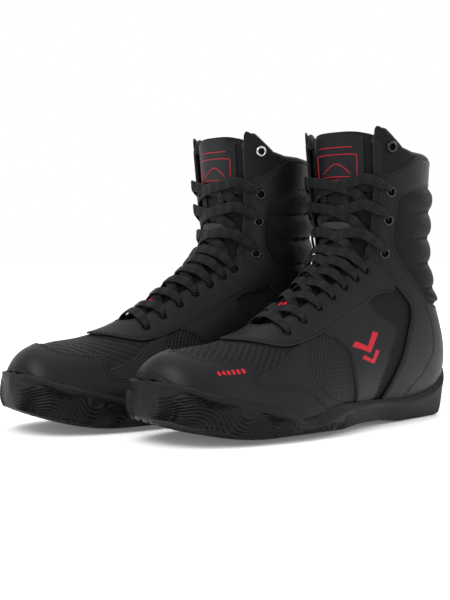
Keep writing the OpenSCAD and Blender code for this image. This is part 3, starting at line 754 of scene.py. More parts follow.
@dataclass
class Boot:
    """One boot of the pair: places finished shapes on its bodies."""

    side: Side
    made: int = 0

    def put(self, name: str, shape: Shape, finish: Finish, body: str = "boot",
            replaces: Sequence[str] = (), crease: float = 50.0, ride: bool = True) -> bpy.types.Object:
        """Makes a Blender object from a shape and hangs it on a body.

        Args:
            name: The piece's name without the boot's side.
            shape: The shape in boot-local millimetres.
            finish: Its finish.
            body: The body it rides on: boot, tongue or tab.
            replaces: CAD nodes that it stands for, without the side.
            crease: Edges sharper than this many degrees stay sharp.
            ride: False to leave it attached to no body.

        Returns:
            The new object.
        """
        title = f"{self.side.value}_{name}_skin" if name in PLAIN_NODES else f"{self.side.value}_{name}"
        mesh = bpy.data.meshes.new(title)
        mesh.from_pydata(self.side.to_row(shape.points).tolist(), [], shape.faces)
        work = bmesh.new()
        work.from_mesh(mesh)
        bmesh.ops.recalc_face_normals(work, faces=work.faces)
        work.to_mesh(mesh)
        work.free()
        mesh.polygons.foreach_set("use_smooth", [True] * len(mesh.polygons))
        mesh.set_sharp_from_angle(angle=math.radians(crease))
        layer = mesh.uv_layers.new(name="weave")
        corner = np.zeros(len(mesh.loops), np.int32)
        mesh.loops.foreach_get("vertex_index", corner)
        layer.data.foreach_set("uv", shape.weave[corner].astype(np.float32).ravel())
        mesh.materials.append(finish.material())
        mesh.validate()
        made = bpy.data.objects.new(title, mesh)
        bpy.context.scene.collection.objects.link(made)
        if ride:
            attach(made, f"{self.side.value}_{body}")
        if replaces:
            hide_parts(*[f"{self.side.value}_{n}" for n in replaces])
        self.made += 1
        LOG.info("%s: %d points", title, len(mesh.vertices))
        return made

    def sew(self, name: str, lines: Sequence[Array], body: str = "boot") -> None:
        """Lays thread along lines as one piece."""
        found = [s for line in lines if len(line) > 3 for s in stitches(line)]
        if found:
            self.put(name, Shape.joined(found), THREAD, body)


PLAIN_NODES: frozenset[str] = frozenset(
    n.split("_", 1)[1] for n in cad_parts)


def mirrored(outline: Outline) -> list[tuple[float, float]]:
    """Returns a lateral outline on the medial side."""
    return [(t, -v) for t, v in outline]


def both(outline: Outline) -> list[tuple[float, float]]:
    """Closes an open line that starts and ends on v = 0 or 180 with its mirror image."""
    back = [(t, -v) for t, v in reversed(outline) if abs(v) > 0.01]
    return list(outline) + back


def round_heel(outline: Outline) -> list[tuple[float, float]]:
    """Closes a lateral line that starts and ends on v = 180 with its mirror, v running to 360."""
    back = [(t, 360 - v) for t, v in reversed(outline) if abs(v - 180) > 0.01]
    return list(outline) + back


# ---------------------------------------------------------------- sub-assemblies


@dataclass
class Sole:
    """The moulded rubber cup with its rim, rippled wall and tread."""

    rim: tuple[tuple[float, float], ...] = (
        (0.0, 0), (0.46, 0), (0.56, 30), (0.72, 50), (1.0, 62), (1.7, 78), (2.5, 93), (3.3, 102),
        (4.0, 110), (4.6, 120), (4.9, 129), (5.2, 141), (5.5, 141), (5.9, 135), (6.4, 135),
        (7.0, 142), (8.0, 149), (8.7, 151), (9.3, 151), (9.8, 150), (10.3, 151), (10.7, 156),
        (10.95, 164))
    ripple_pitch: float = 2.9
    ripple_depth: float = 1.5

    def rim_at(self, t: Array) -> Array:
        """Returns the height of the rim as degrees round the last, at each station."""
        knots = np.array(self.rim)
        return np.interp(t, knots[:, 0], knots[:, 1])

    @staticmethod
    def floor_at(forward: Array) -> Array:
        """Returns the tread's height above the floor: toe spring, arch and heel bevel."""
        return (17 * (np.maximum(0, forward - 222) / 73) ** 1.8
                + 7 * (np.maximum(0, 26 - forward) / 26) ** 2
                + 3 * smooth(70, 105, forward) * (1 - smooth(125, 160, forward)))

    def build(self, boot: Boot) -> None:
        """Makes the outsole."""
        ts = np.concatenate([np.linspace(0.02, 0.45, 8), np.linspace(0.47, 1.2, 28),
                             np.linspace(1.25, 3.2, 46), np.linspace(3.25, 10.0, 150),
                             np.linspace(10.04, 10.95, 26)])
        wall = np.linspace(0, 1, 84)
        rim = self.rim_at(ts)[:, None]
        edge = 158.0
        side = rim + (edge - rim) * np.clip(wall, 0, 1)[None, :]
        under = edge + (360 - 2 * edge) * (0.5 + 0.5 * np.sign(np.linspace(-1, 1, 72))
                                           * np.abs(np.linspace(-1, 1, 72)) ** 1.5)[None, 1:-1]
        v = np.concatenate([side, np.broadcast_to(under, (len(ts), 70)), (360 - side)[:, ::-1]], axis=1)
        t = np.broadcast_to(ts[:, None], v.shape)
        b = 180 - np.abs(180 - v)
        o = 4.6 + 1.0 * smooth(0, 1, (b - rim) / np.maximum(140 - rim, 1)) * smooth(0.4, 1.6, t)
        places = LAST.spot(t, v, o)
        steps = np.linalg.norm(np.diff(places, axis=1), axis=2)
        down = np.concatenate([np.zeros((len(ts), 1)), np.cumsum(steps, axis=1)], axis=1)
        down = np.minimum(down, down[:, -1:] - down)
        taper = 2.3 * smooth(3.2, 0, down) * smooth(0.5, 1.1, t)
        o = o - taper - 2.6 * smooth(10.2, 10.95, t) + self.relief(t, v, b, down, places)
        share = np.clip((b - rim) / (edge - rim), 0, 1)
        inner = np.full(o.shape, 1.2)

        def rest(points: Array, outside: bool) -> Array:
            """Stretches the wall down to the tread and lays the bottom on it."""
            grid = points.reshape(*t.shape, 3).copy()
            lift = 0.0 if outside else 3.2
            for half in (slice(0, 84), slice(t.shape[1] - 84, t.shape[1])):
                part = grid[:, half]
                at_edge = part[:, -1:] if half.start == 0 else part[:, :1]
                drop = self.tread_at(at_edge) + lift - at_edge[..., 2]
                part[..., 2] += drop * pulled * share[:, half] ** 1.7
            bottom = grid[:, 84:-84]
            target = self.tread_at(bottom) + lift + (self.grooves(bottom) if outside else 0.0)
            bottom[..., 2] += (target - bottom[..., 2]) * pulled
            grid[0] = grid[0].mean(axis=0)
            return grid.reshape(-1, 3)

        pulled = (smooth(10.5, 9.95, ts) * smooth(0.1, 0.9, ts))[:, None]
        shape = grid_shell(np.array(t), v, o, inner, change=rest)
        boot.put("outsole", shape, RUBBER, replaces=["outsole"], crease=80)

    def tread_at(self, points: Array) -> Array:
        """Returns the tread's height under points: the floor line, rising towards both edges."""
        forward = MID_LENGTH - points[..., 1]
        centre = np.interp(forward, [0, 60, 130, 200, 250, 298], [0, 1, 3, 1, -1, -8])
        half = np.interp(forward, [0, 12, 40, 120, 200, 250, 285, 298], [20, 33, 38, 42, 52, 48, 30, 20])
        share = np.clip(np.abs(points[..., 0] - centre) / half, 0, 1.1)
        rocker = np.interp(forward, [0, 60, 130, 200, 240, 265, 290], [3, 2.5, 4, 6.0, 4.6, 2.8, 1.0])
        return self.floor_at(forward) + rocker * share**3.2

    @staticmethod
    def grooves(points: Array) -> Array:
        """Returns the height of the tread's curved grooves above its wearing surface."""
        forward, across = MID_LENGTH - points[..., 1], points[..., 0]
        ball = np.hypot(forward - 205, across * 1.3)
        heel = np.hypot(forward - 40, across * 1.2)
        which = np.where(forward > 120, ball, heel)
        wave = 0.5 + 0.5 * np.cos(2 * math.pi * (which + 3 * np.sin(across / 7)) / 6.5)
        return 1.3 * smooth(0.55, 0.8, wave)

    def relief(self, t: Array, v: Array, b: Array, down: Array, places: Array) -> Array:
        """Returns the wall's relief in millimetres: a smooth rim, then wavy ripple grooves."""
        forward = MID_LENGTH - places[..., 1]
        swirl = forward + 3.0 * np.sin(forward / 17.0)
        wave = 7.0 * np.sin(swirl / 7.0 + 0.5 - down / 14.0) * smooth(3.5, 11, down)
        groove = 0.5 + 0.5 * np.cos(2 * math.pi * (down + wave) / self.ripple_pitch)
        front = smooth(0.4, 0.9, t) * smooth(7.2, 6.2, t)
        heel = smooth(8.2, 8.9, t)
        fine = 0.5 + 0.5 * np.cos(2 * math.pi * (down + forward * 0.45) / 2.0)
        rim = 1.5 * np.exp(-(((down - 1.6) / 1.5) ** 2)) * smooth(5.1, 4.6, t) * smooth(0.5, 1.1, t)
        band = smooth(4.6, 6.0, down) * smooth(162, 155, b)
        ripple = -self.ripple_depth * groove * front * band
        ribs = -0.4 * fine * heel * smooth(7, 8.5, down) * smooth(166, 158, b)
        waist = -1.6 * smooth(6.3, 7.0, t) * smooth(8.8, 7.8, t) * smooth(2, 6, down) * smooth(165, 150, b)
        lobe = 1.6 * np.exp(-(((t - 5.95) / 0.42) ** 2)) * smooth(0, 4, down) * smooth(160, 150, b)
        heel_line = 0.9 * np.exp(-(((down - 1.3) / 1.2) ** 2)) * heel
        return rim + ripple + ribs + waist + lobe + heel_line


# Outlines on the lateral side, as (station, degrees); the medial side mirrors them.
TOE_CAP_REAR: Outline = ((2.45, 0), (2.58, 6), (2.78, 32), (3.2, 46), (4.12, 58), (4.24, 66),
                         (4.21, 81), (4.32, 88), (4.8, 92), (5.3, 97), (5.58, 107), (5.86, 124),
                         (5.98, 134), (5.9, 150))
WING: Outline = ((5.55, 62), (5.05, 70.5), (4.62, 75.5), (4.15, 80), (4.0, 92), (5.1, 108), (5.7, 130),
                 (6.0, 150), (6.5, 152), (6.42, 132), (6.03, 116), (5.79, 95), (5.84, 81), (6.08, 70),
                 (6.2, 62))
SADDLE: Outline = ((6.62, 62), (6.88, 79), (7.09, 92), (7.05, 101), (7.0, 113), (6.98, 126), (7.0, 152),
                   (7.62, 156), (7.74, 145), (7.98, 126), (8.28, 113), (8.49, 103), (8.72, 98),
                   (8.98, 90), (8.96, 84), (8.6, 74), (8.4, 62))
WINDOW: Outline = ((6.0, 60), (5.75, 80), (5.7, 96), (5.9, 117), (6.3, 134), (6.6, 150), (7.15, 152),
                   (7.12, 126), (7.2, 92), (6.75, 60))
EYESTAY_LOW: Outline = ((4.22, 0), (4.35, 14), (4.62, 27), (5.07, 46), (5.5, 58), (6.1, 63.5), (6.64, 65.6),
                        (7.13, 66), (8.34, 65), (8.93, 63.5), (9.72, 68), (9.98, 63.5), (9.95, 50))
THROAT: Outline = ((9.92, 40.5), (9.4, 40), (8.8, 39), (8.08, 37.5), (7.41, 35.3), (6.86, 33.4),
                   (6.37, 31), (5.92, 28.5), (5.55, 23), (5.32, 12), (5.26, 0))
EDGING: Outline = ((9.84, 36), (10.4, 35), (11.5, 35), (12.7, 36.5), (13.5, 37), (14.2, 36.5),
                   (14.5, 38), (14.45, 47), (13.7, 47.2), (12.9, 47.4), (11.7, 44.5), (10.6, 43.7),
                   (9.95, 47))
SHAFT_PANEL: Outline = (
    (9.93, 44.5), (10.56, 41.7), (11.7, 42.5), (12.87, 45.2), (13.6, 45.2), (13.78, 47), (14.02, 58),
    (14.27, 72), (14.42, 80), (14.6, 92), (14.72, 108), (14.8, 130), (14.86, 155), (14.86, 176),
    (14.5, 176), (14.47, 155), (14.4, 128), (14.24, 107), (13.92, 85), (13.5, 69), (13.1, 65.5),
    (12.5, 62), (11.97, 59.5), (11.5, 58.5), (11.15, 63), (11.03, 74), (11.03, 88), (10.9, 96),
    (10.62, 106), (10.36, 112), (10.04, 117), (9.65, 122.4), (9.28, 130), (8.85, 140), (8.55, 158),
    (8.0, 158), (8.12, 138), (8.54, 118.4), (8.97, 105.3), (9.38, 94.5), (9.9, 85), (10.03, 80),
    (9.99, 72), (9.9, 60))
HEEL_COUNTER: Outline = (
    (12.2, 180), (12.12, 160), (11.9, 138), (11.5, 115), (11.1, 97), (10.9, 92), (10.4, 98),
    (9.95, 104), (9.9, 114), (9.55, 120), (9.18, 128), (8.75, 139), (8.6, 158), (9.3, 168),
    (10.2, 172), (10.5, 180))
ROLL_PANEL: Outline = (
    (14.5, 180), (14.5, 155), (14.44, 128), (14.3, 106), (13.98, 84), (13.56, 67), (13.1, 63),
    (12.5, 59.5), (11.97, 57), (11.45, 56), (11.05, 61), (10.95, 74), (10.95, 89), (11.1, 98),
    (11.5, 114), (11.9, 137), (12.1, 158), (12.16, 180))
CORNER: Outline = ((13.62, 44), (13.72, 48), (13.98, 60), (14.22, 73), (14.38, 81), (14.5, 88),
                   (14.6, 82), (14.58, 72), (14.62, 62), (14.72, 53), (14.8, 46), (14.78, 41),
                   (14.6, 38.5), (14.2, 41))
HOLE_ROWS: tuple[float, ...] = tuple(5.7 + 0.575 * i for i in range(7))
HOLE_V = 45.0
EYELETS: tuple[tuple[float, float], ...] = ((10.7, 50), (12.3, 54), (13.45, 57), (14.5, 58))


@dataclass
class Upper:
    """The textile base and the coated panels sewn on it."""

    low: float = 0.25
    high: float = 1.0
    thick: float = 1.15

    def build(self, boot: Boot) -> None:
        """Makes the base and every panel with its stitches and cut edges."""
        self.base(boot)
        self.toe(boot)
        self.throat(boot)
        for name, sign in (("lateral", 1), ("medial", -1)):
            self.side_panels(boot, name, sign)
        self.heel(boot)

    def base(self, boot: Boot) -> None:
        """Makes the textile vamp and quarters."""
        t = np.linspace(0.0, 5.9, 60)[:, None] + np.zeros((1, 110))
        v = np.linspace(-160, 160, 110)[None, :] + np.zeros((60, 1))
        over = 5.35 + 0.55 * smooth(30, 60, np.abs(v[0]))
        t = t / 5.9 * over[None, :]
        flat = np.zeros(t.shape)
        boot.put("vamp", grid_shell(t, v, flat, flat - 1.2), RIB_MESH, replaces=["vamp"])
        rows = 150
        for name, sign in (("lateral", 1), ("medial", -1)):
            ts = np.linspace(5.36, 14.5, rows)
            throat = np.interp(ts, [5.3, 9.5, 11, 14.2, 14.5], [30, 36, 38, 38, 39])
            low = 160 + 19 * smooth(9, 10.6, ts)
            f = np.linspace(0, 1, 60)[None, :]
            v = (throat[:, None] + (low - throat)[:, None] * f) * sign
            rise = Collar.top(np.abs(v)) - 14.52
            t = ts[:, None] + smooth(13.4, 14.5, ts)[:, None] * rise
            flat = np.zeros(v.shape)
            boot.put(f"quarter_{name}", grid_shell(t, v, flat, flat - 1.2, Drape.SIDE),
                     AIR_MESH, replaces=[f"quarter_{name}"])

    def toe(self, boot: Boot) -> None:
        """Makes the toe cap, double-stitched along its rear edge."""
        front = [(0.7, 40), (0.42, 0)]
        low = [(4.9, 150), (3.6, 128), (2.5, 112), (1.4, 92), (0.95, 72)]
        cap = Panel(both([*TOE_CAP_REAR, *low, *front]), self.high, self.thick, step=3.4,
                    sewn=(1.9, 4.1), corners=frozenset({13, 27}), drape=Drape.WRAP)
        boot.put("toe_cap", cap.shape(), SYNTHETIC, replaces=["toe_cap"])
        height = self.high + self.thick - 0.05
        boot.sew("toe_cap_stitching", [cap.line(1.9, height), cap.line(4.1, height)])

    def throat(self, boot: Boot) -> None:
        """Makes the U-shaped eyestay with its punched lace holes."""
        holes = [(t, s * HOLE_V, 2.9) for t in HOLE_ROWS for s in (1, -1)]
        outline = both([*EYESTAY_LOW, *THROAT])
        stay = Panel(outline, self.high, self.thick, step=3.2, holes=holes, sewn=(2.0,),
                     corners=frozenset({12, 13}), drape=Drape.WRAP)
        boot.put("eyestay", stay.shape(), SYNTHETIC, replaces=["eyestay_lateral", "eyestay_medial"])
        height = self.high + self.thick
        boot.sew("eyestay_stitching", [stay.line(2.0, height - 0.05)])
        edge = np.concatenate([stay.line(0.28, height - 0.15, part) for part in ((0.76, 1.0), (0.0, 0.24))])
        boot.put("eyestay_cut_edge", Shape.joined([tube(part, 0.22) for part in self.runs(edge)]), CUT_EDGE)

    @staticmethod
    def runs(line: Array, jump: float = 5.0) -> list[Array]:
        """Splits a line of points where it jumps."""
        gaps = np.linalg.norm(np.diff(line[:, :3], axis=0), axis=1)
        return [part for part in np.split(line, np.flatnonzero(gaps > jump) + 1) if len(part) > 3]

    def side_panels(self, boot: Boot, name: str, sign: int) -> None:
        """Makes one side's window, wing, saddle, edging, shaft panel and collar corner."""

        def cut(outline: Outline) -> list[tuple[float, float]]:
            """Returns the outline on this side."""
            return list(outline) if sign > 0 else mirrored(outline)

        window = Panel(cut(WINDOW), 0.02, 0.4, step=3.4)
        boot.put(f"mesh_window_{name}", window.shape(), OPEN_MESH)
        wing = Panel(cut(WING), self.low, 0.8, step=3.2, sewn=(1.8,))
        boot.put(f"wing_{name}", wing.shape(), SYNTHETIC)
        saddle = Panel(cut(SADDLE), self.low, 1.0, step=3.2, sewn=(1.8,))
        boot.put(f"saddle_{name}", saddle.shape(), SYNTHETIC, replaces=[f"saddle_{name}"])
        edging = Panel(cut(EDGING), 0.1, 1.5, step=3.0, rounding=1.4)
        boot.put(f"throat_edging_{name}", edging.shape(), SUEDE)
        holes = [(t, sign * v, 3.0) for t, v in EYELETS[:3]]
        shaft = Panel(cut(SHAFT_PANEL), self.high, self.thick, step=3.4, holes=holes, sewn=(1.9,),
                      rounding=0.9)
        boot.put(f"shaft_panel_{name}", shaft.shape(), SYNTHETIC,
                 replaces=[f"facing_{name}", f"heel_strap_{name}"])
        corner = Panel(cut(CORNER), 0.2, 1.3, step=2.8, rounding=1.4,
                       holes=[(EYELETS[3][0], sign * EYELETS[3][1], 3.0)])
        boot.put(f"collar_corner_{name}", corner.shape(), AIR_MESH, replaces=["collar_corners"])
        lines = [wing.line(1.8, self.low + 0.75), saddle.line(1.8, self.low + 0.95),
                 shaft.line(1.9, self.high + self.thick - 0.05)]
        boot.sew(f"side_stitching_{name}", lines)
        edge = shaft.line(0.25, self.high + self.thick - 0.2, (0.0, 1.0))
        boot.put(f"shaft_cut_edge_{name}", Shape.joined([tube(p, 0.18) for p in self.runs(edge)]), CUT_EDGE)

    def heel(self, boot: Boot) -> None:
        """Makes the heel counter's cover round the back."""
        cover = Panel(round_heel(HEEL_COUNTER), 0.3, 1.2, step=3.6, sewn=(1.9,), rounding=1.0)
        boot.put("heel_counter_cover", cover.shape(), SYNTHETIC, replaces=["heel_cap"])
        boot.sew("heel_stitching", [cover.line(1.9, 1.45)])


@dataclass
class Achilles:
    """The padded panel of stacked rolls at the back of the shaft."""

    roll_pitch: float = 20.0
    roll_first: float = 86.0
    depth: float = 5.6

    def build(self, boot: Boot) -> None:
        """Makes the rolls as one padded piece."""

        def swell(t: Array, v: Array, gap: Array) -> Array:
            """Returns the rolls' height above the panel."""
            places = LAST.spot(t, v, 0.0)
            back = smooth(62, 150, 180 - np.abs(180 - (v % 360)))
            run = places[:, 2] - 0.10 * (places[:, 1] - 100)
            wave = np.abs(np.sin(math.pi * (run - self.roll_first) / self.roll_pitch)) ** 0.55
            return (0.7 + (self.depth - 0.7) * back) * wave * smooth(0.5, 7, gap)

        panel = Panel(round_heel(ROLL_PANEL), 0.15, 1.0, step=2.3, extra=swell, rounding=1.2,
                      drape=Drape.WRAP)
        rolls = boot.put("achilles_rolls", panel.shape(), AIR_MESH, replaces=["flex_rolls"], crease=75)


@dataclass
class Collar:
    """The lining and the collar's binding."""

    def build(self, boot: Boot) -> None:
        """Makes the lining and the rolled collar edge."""
        ts = np.concatenate([np.linspace(0.3, 9.8, 60), np.linspace(9.9, 14.62, 60)])
        edge = np.interp(ts, [0, 5.1, 5.9, 9.5, 11, 15], [2, 2, 33, 38, 40, 41])
        f = np.linspace(0, 1, 90)[None, :]
        v = edge[:, None] + (360 - 2 * edge)[:, None] * f
        rise = self.top(v[-1]) - 14.62
        t = ts[:, None] + smooth(13.0, 14.62, ts)[:, None] * rise[None, :]
        puff = 1.2 * smooth(10.5, 12, t) * np.abs(np.sin(math.pi * (t - 0.5) * 1.5)) * smooth(14.6, 13.5, t)
        shape = grid_shell(t, v, np.full(t.shape, -3.2), -4.8 - puff)
        boot.put("lining", shape, LINING, replaces=["lining"])
        turn = np.linspace(39, 321, 240)
        at = self.top(turn)
        _, _, normal = LAST.tangents(at - 0.05, turn)
        line = np.concatenate([LAST.spot(at, turn, -1.6), normal], axis=1)
        boot.put("collar_binding", tube(line, 2.6, 12), SUEDE)

    @staticmethod
    def top(v: Array) -> Array:
        """Returns the collar's height as a station, round the shaft."""
        round_v = 180 - np.abs(180 - (np.asarray(v) % 360))
        return np.interp(round_v, [36, 42, 50, 60, 72, 88, 108, 140, 180],
                         [14.3, 14.62, 14.76, 14.66, 14.56, 14.6, 14.72, 14.86, 14.92])


@dataclass
class Tongue:
    """The padded tongue with its woven label."""

    half_width: float = 54.0

    def build(self, boot: Boot) -> None:
        """Makes the tongue, its label and the keeper loop."""
        ts = np.concatenate([np.linspace(5.5, 11.5, 70), np.linspace(11.6, 14.66, 60)])
        half = 14 + (self.half_width - 14) * smooth(5.4, 6.3, ts)
        half = half * (1 - 0.16 * smooth(14.35, 14.66, ts) ** 2)
        f = np.linspace(-1, 1, 44)[None, :]
        v = half[:, None] * f
        t = ts[:, None] + 0 * v
        pad = np.sqrt(np.clip(1 - f**4, 0, 1)) * smooth(14.66, 14.5, ts)[:, None]
        full = 2.4 * np.exp(-((v / 25) ** 2)) * (smooth(5.6, 7.0, ts) * smooth(13.2, 12.4, ts))[:, None]
        outer = -6.4 + 2.0 * pad + full - 0.35 * np.exp(-(((np.abs(v) - 27) / 1.6) ** 2))
        inner = -7.6 - 1.2 * pad
        shape = grid_shell(t, v, outer, inner)
        tongue = boot.put("tongue", shape, TONGUE_MESH, replaces=["tongue_base", "tongue_top"], ride=False)
        low, high = (boot.side.to_row(LAST.spot(np.array([t]), np.array([0.0])))[0] for t in (11.2, 12.2))
        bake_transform(tongue)
        self.label(boot)
        self.keeper(boot)

    def label(self, boot: Boot) -> None:
        """Makes the satin label with a generic printed frame and mark."""
        sheet = Panel([(13.14, -26), (13.12, 0), (13.14, 26), (14.55, 26), (14.6, 0), (14.55, -26)],
                      -4.3, 0.5, step=3.0, corners=frozenset({0, 2, 3, 5}), drape=Drape.WRAP, rounding=0.4)
        boot.put("tongue_label", sheet.shape(), SATIN, "tongue", replaces=["tongue_label"])
        bars = []
        frame_lines = [((13.26, -17), (14.2, -17)), ((14.2, -17), (14.2, 17)), ((14.2, 17), (13.26, 17)),
                       ((13.26, 17), (13.26, -17))]
        marks = [((13.38, -10), (13.38, 10)), ((13.52, -10), (13.52, 10)), ((13.66, -9), (13.98, 0)),
                 ((13.98, 0), (13.66, 9)), ((14.34, -12), (14.34, 12))]
        for (t0, v0), (t1, v1) in frame_lines + marks:
            f = np.linspace(0, 1, 12)
            t, v = t0 + (t1 - t0) * f, v0 + (v1 - v0) * f
            _, _, normal = LAST.tangents(t, v)
            bars.append(tube(np.concatenate([LAST.spot(t, v, -3.85), normal], axis=1), 0.32))
        boot.put("label_print", Shape.joined(bars), PRINT, "tongue")

    def keeper(self, boot: Boot) -> None:
        """Makes the webbing loop that holds the lace's tails."""
        v = np.linspace(-21, 21, 30)
        t = np.linspace(10.45, 10.95, 8)
        arch = -3.6 + 4.0 * np.sqrt(np.clip(1 - (v / 21) ** 4, 0, 1))
        grid_t, grid_v = np.meshgrid(t, v, indexing="ij")
        outer = np.broadcast_to(arch, grid_t.shape)
        boot.put("lace_keeper", grid_shell(grid_t, grid_v, outer, outer - 0.9), KEEPER,
                 replaces=["lace_keeper"])


@dataclass
class Lacing:
    """The flat lace, its tips, and the eyelets it runs through."""

    width: float = 8.2
    thick: float = 1.5
    rib_pitch: float = 2.0
    over: float = 3.25
    flange_over: float = 3.9
    under: float = -2.5
    tail_lie: float = -1.1
    tail_end: float = 6.7

    def rows(self) -> list[tuple[float, float]]:
        """Returns every lace row from the toe up."""
        return [(t, HOLE_V) for t in HOLE_ROWS] + list(EYELETS)

    def crossing(self, side: int, i: int) -> list[tuple[float, ...]]:
        """Returns the route from row i on one side up to row i + 1 on the other."""
        a, b = self.rows()[i], self.rows()[i + 1]
        high = 3.0 if side > 0 else 0.9
        top = self.over if i + 1 < 7 else self.flange_over
        in_a, in_b = (2.8, 0.52) if i < 7 else (2.1, 0.4), (2.4, 0.57) if i + 1 < 7 else (1.7, 0.45)
        t0, t1 = a[0], b[0]
        return [(t0, side * (a[1] - in_a[0]), self.under, 0, in_a[1]),
                (t0 * 0.85 + t1 * 0.15, side * 30, self.under, 0, 1),
                (t0 * 0.68 + t1 * 0.32, side * 15, (self.under + high) / 2 + 0.5, 0, 1),
                ((t0 + t1) / 2, 0, high, 0, 1),
                (t0 * 0.3 + t1 * 0.7, -side * 15, (high + top) / 2, 0, 1),
                (t0 * 0.12 + t1 * 0.88, -side * 28, top + 0.7, 0, 1),
                (t1, -side * (b[1] - 8), top + 0.1, 0, 0.9),
                (t1, -side * (b[1] - in_b[0]), top, 0, in_b[1]),
                (t1, -side * b[1], 0.2, 0, in_b[1])]

    def half(self, side: int) -> list[tuple[float, ...]]:
        """Returns one end of the lace from the bottom bar to the top laced row."""
        t, v = self.rows()[0]
        route = [(t, side * 11, self.over, 0, 1), (t, side * 24, self.over + 0.2, 0, 1),
                 (t, side * 35, self.over + 0.5, 0, 0.8), (t, side * (v - 2.4), self.over, 0, 0.58),
                 (t, side * v, 0.3, 0, 0.52)]
        for i in range(9):
            route += self.crossing(side if i % 2 == 0 else -side, i)
        end = side * -1
        top = self.rows()[9]
        route += [(top[0], end * (top[1] - 3), self.under, 0, 0.6),
                  (top[0] - 0.15, end * 36, self.under, 0, 1),
                  (top[0] - 0.45, end * 18, self.tail_lie, end * 30, 0.9),
                  (top[0] - 0.75, end * 9, self.tail_lie, end * 65, 0.9)]
        t = 12.2
        while t > self.tail_end:
            route.append((t, end * 7, self.tail_lie, end * 90, 0.9))
            t -= 0.55
        return route

    def strap(self, route: Sequence[tuple[float, ...]], width: float, thick: float, ribs: bool) -> Shape:
        """Sweeps a flat woven strap along a route of (t, v, offset, heading, width share)."""
        table = np.array(route, float)
        spots = LAST.spot(table[:, 0], table[:, 1], table[:, 2])
        along, around, _ = LAST.tangents(table[:, 0], table[:, 1])
        along /= np.linalg.norm(along, axis=1, keepdims=True)
        around /= np.linalg.norm(around, axis=1, keepdims=True)
        turn = np.radians(table[:, 3])[:, None]
        ref = along * np.cos(turn) + around * np.sin(turn)
        packed = np.concatenate([spots, ref, table[:, 4:5]], axis=1)
        padded = np.concatenate([2 * packed[:1] - packed[1:2], packed, 2 * packed[-1:] - packed[-2:-1]])
        fine = []
        for i in range(len(packed) - 1):
            a, b, c, d = padded[i], padded[i + 1], padded[i + 2], padded[i + 3]
            count = max(2, int(np.linalg.norm(c[:3] - b[:3]) / 0.45))
            f = np.linspace(0, 1, count, endpoint=False)[:, None]
            fine.append(0.5 * (2 * b + (c - a) * f + (2 * a - 5 * b + 4 * c - d) * f**2
                               + (3 * b - a - 3 * c + d) * f**3))
        line = np.concatenate(fine + [packed[-1:]])
        centre, ref, share = line[:, :3], line[:, 3:6], np.clip(line[:, 6], 0.35, 1.05)
        go = np.gradient(centre, axis=0)
        go /= np.maximum(np.linalg.norm(go, axis=1, keepdims=True), 1e-9)
        side = ref - go * (ref * go).sum(1, keepdims=True)
        side /= np.maximum(np.linalg.norm(side, axis=1, keepdims=True), 1e-9)
        up = np.cross(go, side)
        run = np.concatenate([[0], np.cumsum(np.linalg.norm(np.diff(centre, axis=0), axis=1))])
        rib = 0.5 + 0.5 * np.cos(2 * math.pi * run / self.rib_pitch) if ribs else np.ones(len(run))
        half_w = width / 2 * share * (1 + 0.03 * (rib - 0.5))
        half_t = thick / 2 * (1.15 - 0.15 * share) * (0.62 + 0.38 * rib)
        ring = [(1.0, 0.0), (0.93, 0.7), (0.7, 1.0), (0.25, 1.08), (-0.25, 1.08), (-0.7, 1.0),
                (-0.93, 0.7), (-1.0, 0.0), (-0.93, -0.7), (-0.7, -1.0), (0.0, -1.05), (0.7, -1.0),
                (0.93, -0.7)]
        cross = np.array(ring)
        rings = (centre[:, None] + side[:, None] * (cross[None, :, :1] * half_w[:, None, None])
                 + up[:, None] * (cross[None, :, 1:] * half_t[:, None, None]))
        return ring_solid(rings)

    def build(self, boot: Boot) -> None:
        """Makes the lace, its tips and the eyelets."""
        one, two = self.half(1), self.half(-1)
        boot.put("lace", self.strap([*reversed(two), *one], self.width, self.thick, True), LACE,
                 replaces=["lace"], crease=70)
        tips = []
        for side in (1, -1):
            route = [(t, side * 7, self.tail_lie, side * 90, 1) for t in (self.tail_end + 0.1, 6.5, 6.2)]
            tips.append(self.strap(route, 3.4, 2.2, False))
        boot.put("aglets", Shape.joined(tips), AGLET, replaces=["aglets"])
        rings = [self.ring(t, s * v) for t, v in EYELETS[:3] for s in (1, -1)]
        top_t, top_v = EYELETS[3]
        rings.append(self.ring(top_t, top_v))
        boot.put("eyelets", Shape.joined(rings), ENAMEL, replaces=["eyelets"])
        boot.put("top_eyelet_medial", self.ring(top_t, -top_v), NICKEL)

    @staticmethod
    def ring(t: float, v: float) -> Shape:
        """Returns a rolled eyelet standing at a lace row."""
        profile = [(2.5, -1.0), (2.5, 2.4), (2.7, 2.95), (3.15, 3.2), (3.7, 3.1), (4.15, 2.7), (4.3, 2.2),
                   (4.1, 2.0), (3.2, 1.9), (3.1, -1.0)]
        at_t, at_v = np.array([t]), np.array([v])
        along, _, normal = (a[0] for a in LAST.tangents(at_t, at_v))
        one = along / np.linalg.norm(along)
        two = np.cross(normal, one)
        centre = LAST.spot(t, v, 0.0)
        turn = np.linspace(0, 2 * math.pi, 33)[:-1]
        points, faces = [], []
        sides = len(profile)
        for a in turn:
            out = one * math.cos(a) + two * math.sin(a)
            points += [centre + out * r + normal * h for r, h in profile]
        for i in range(32):
            for k in range(sides):
                a, b = i * sides + k, i * sides + (k + 1) % sides
                c, d = ((i + 1) % 32) * sides + (k + 1) % sides, ((i + 1) % 32) * sides + k
                faces.append((a, b, c, d))
        return Shape(np.array(points), faces, np.zeros((len(points), 2)))


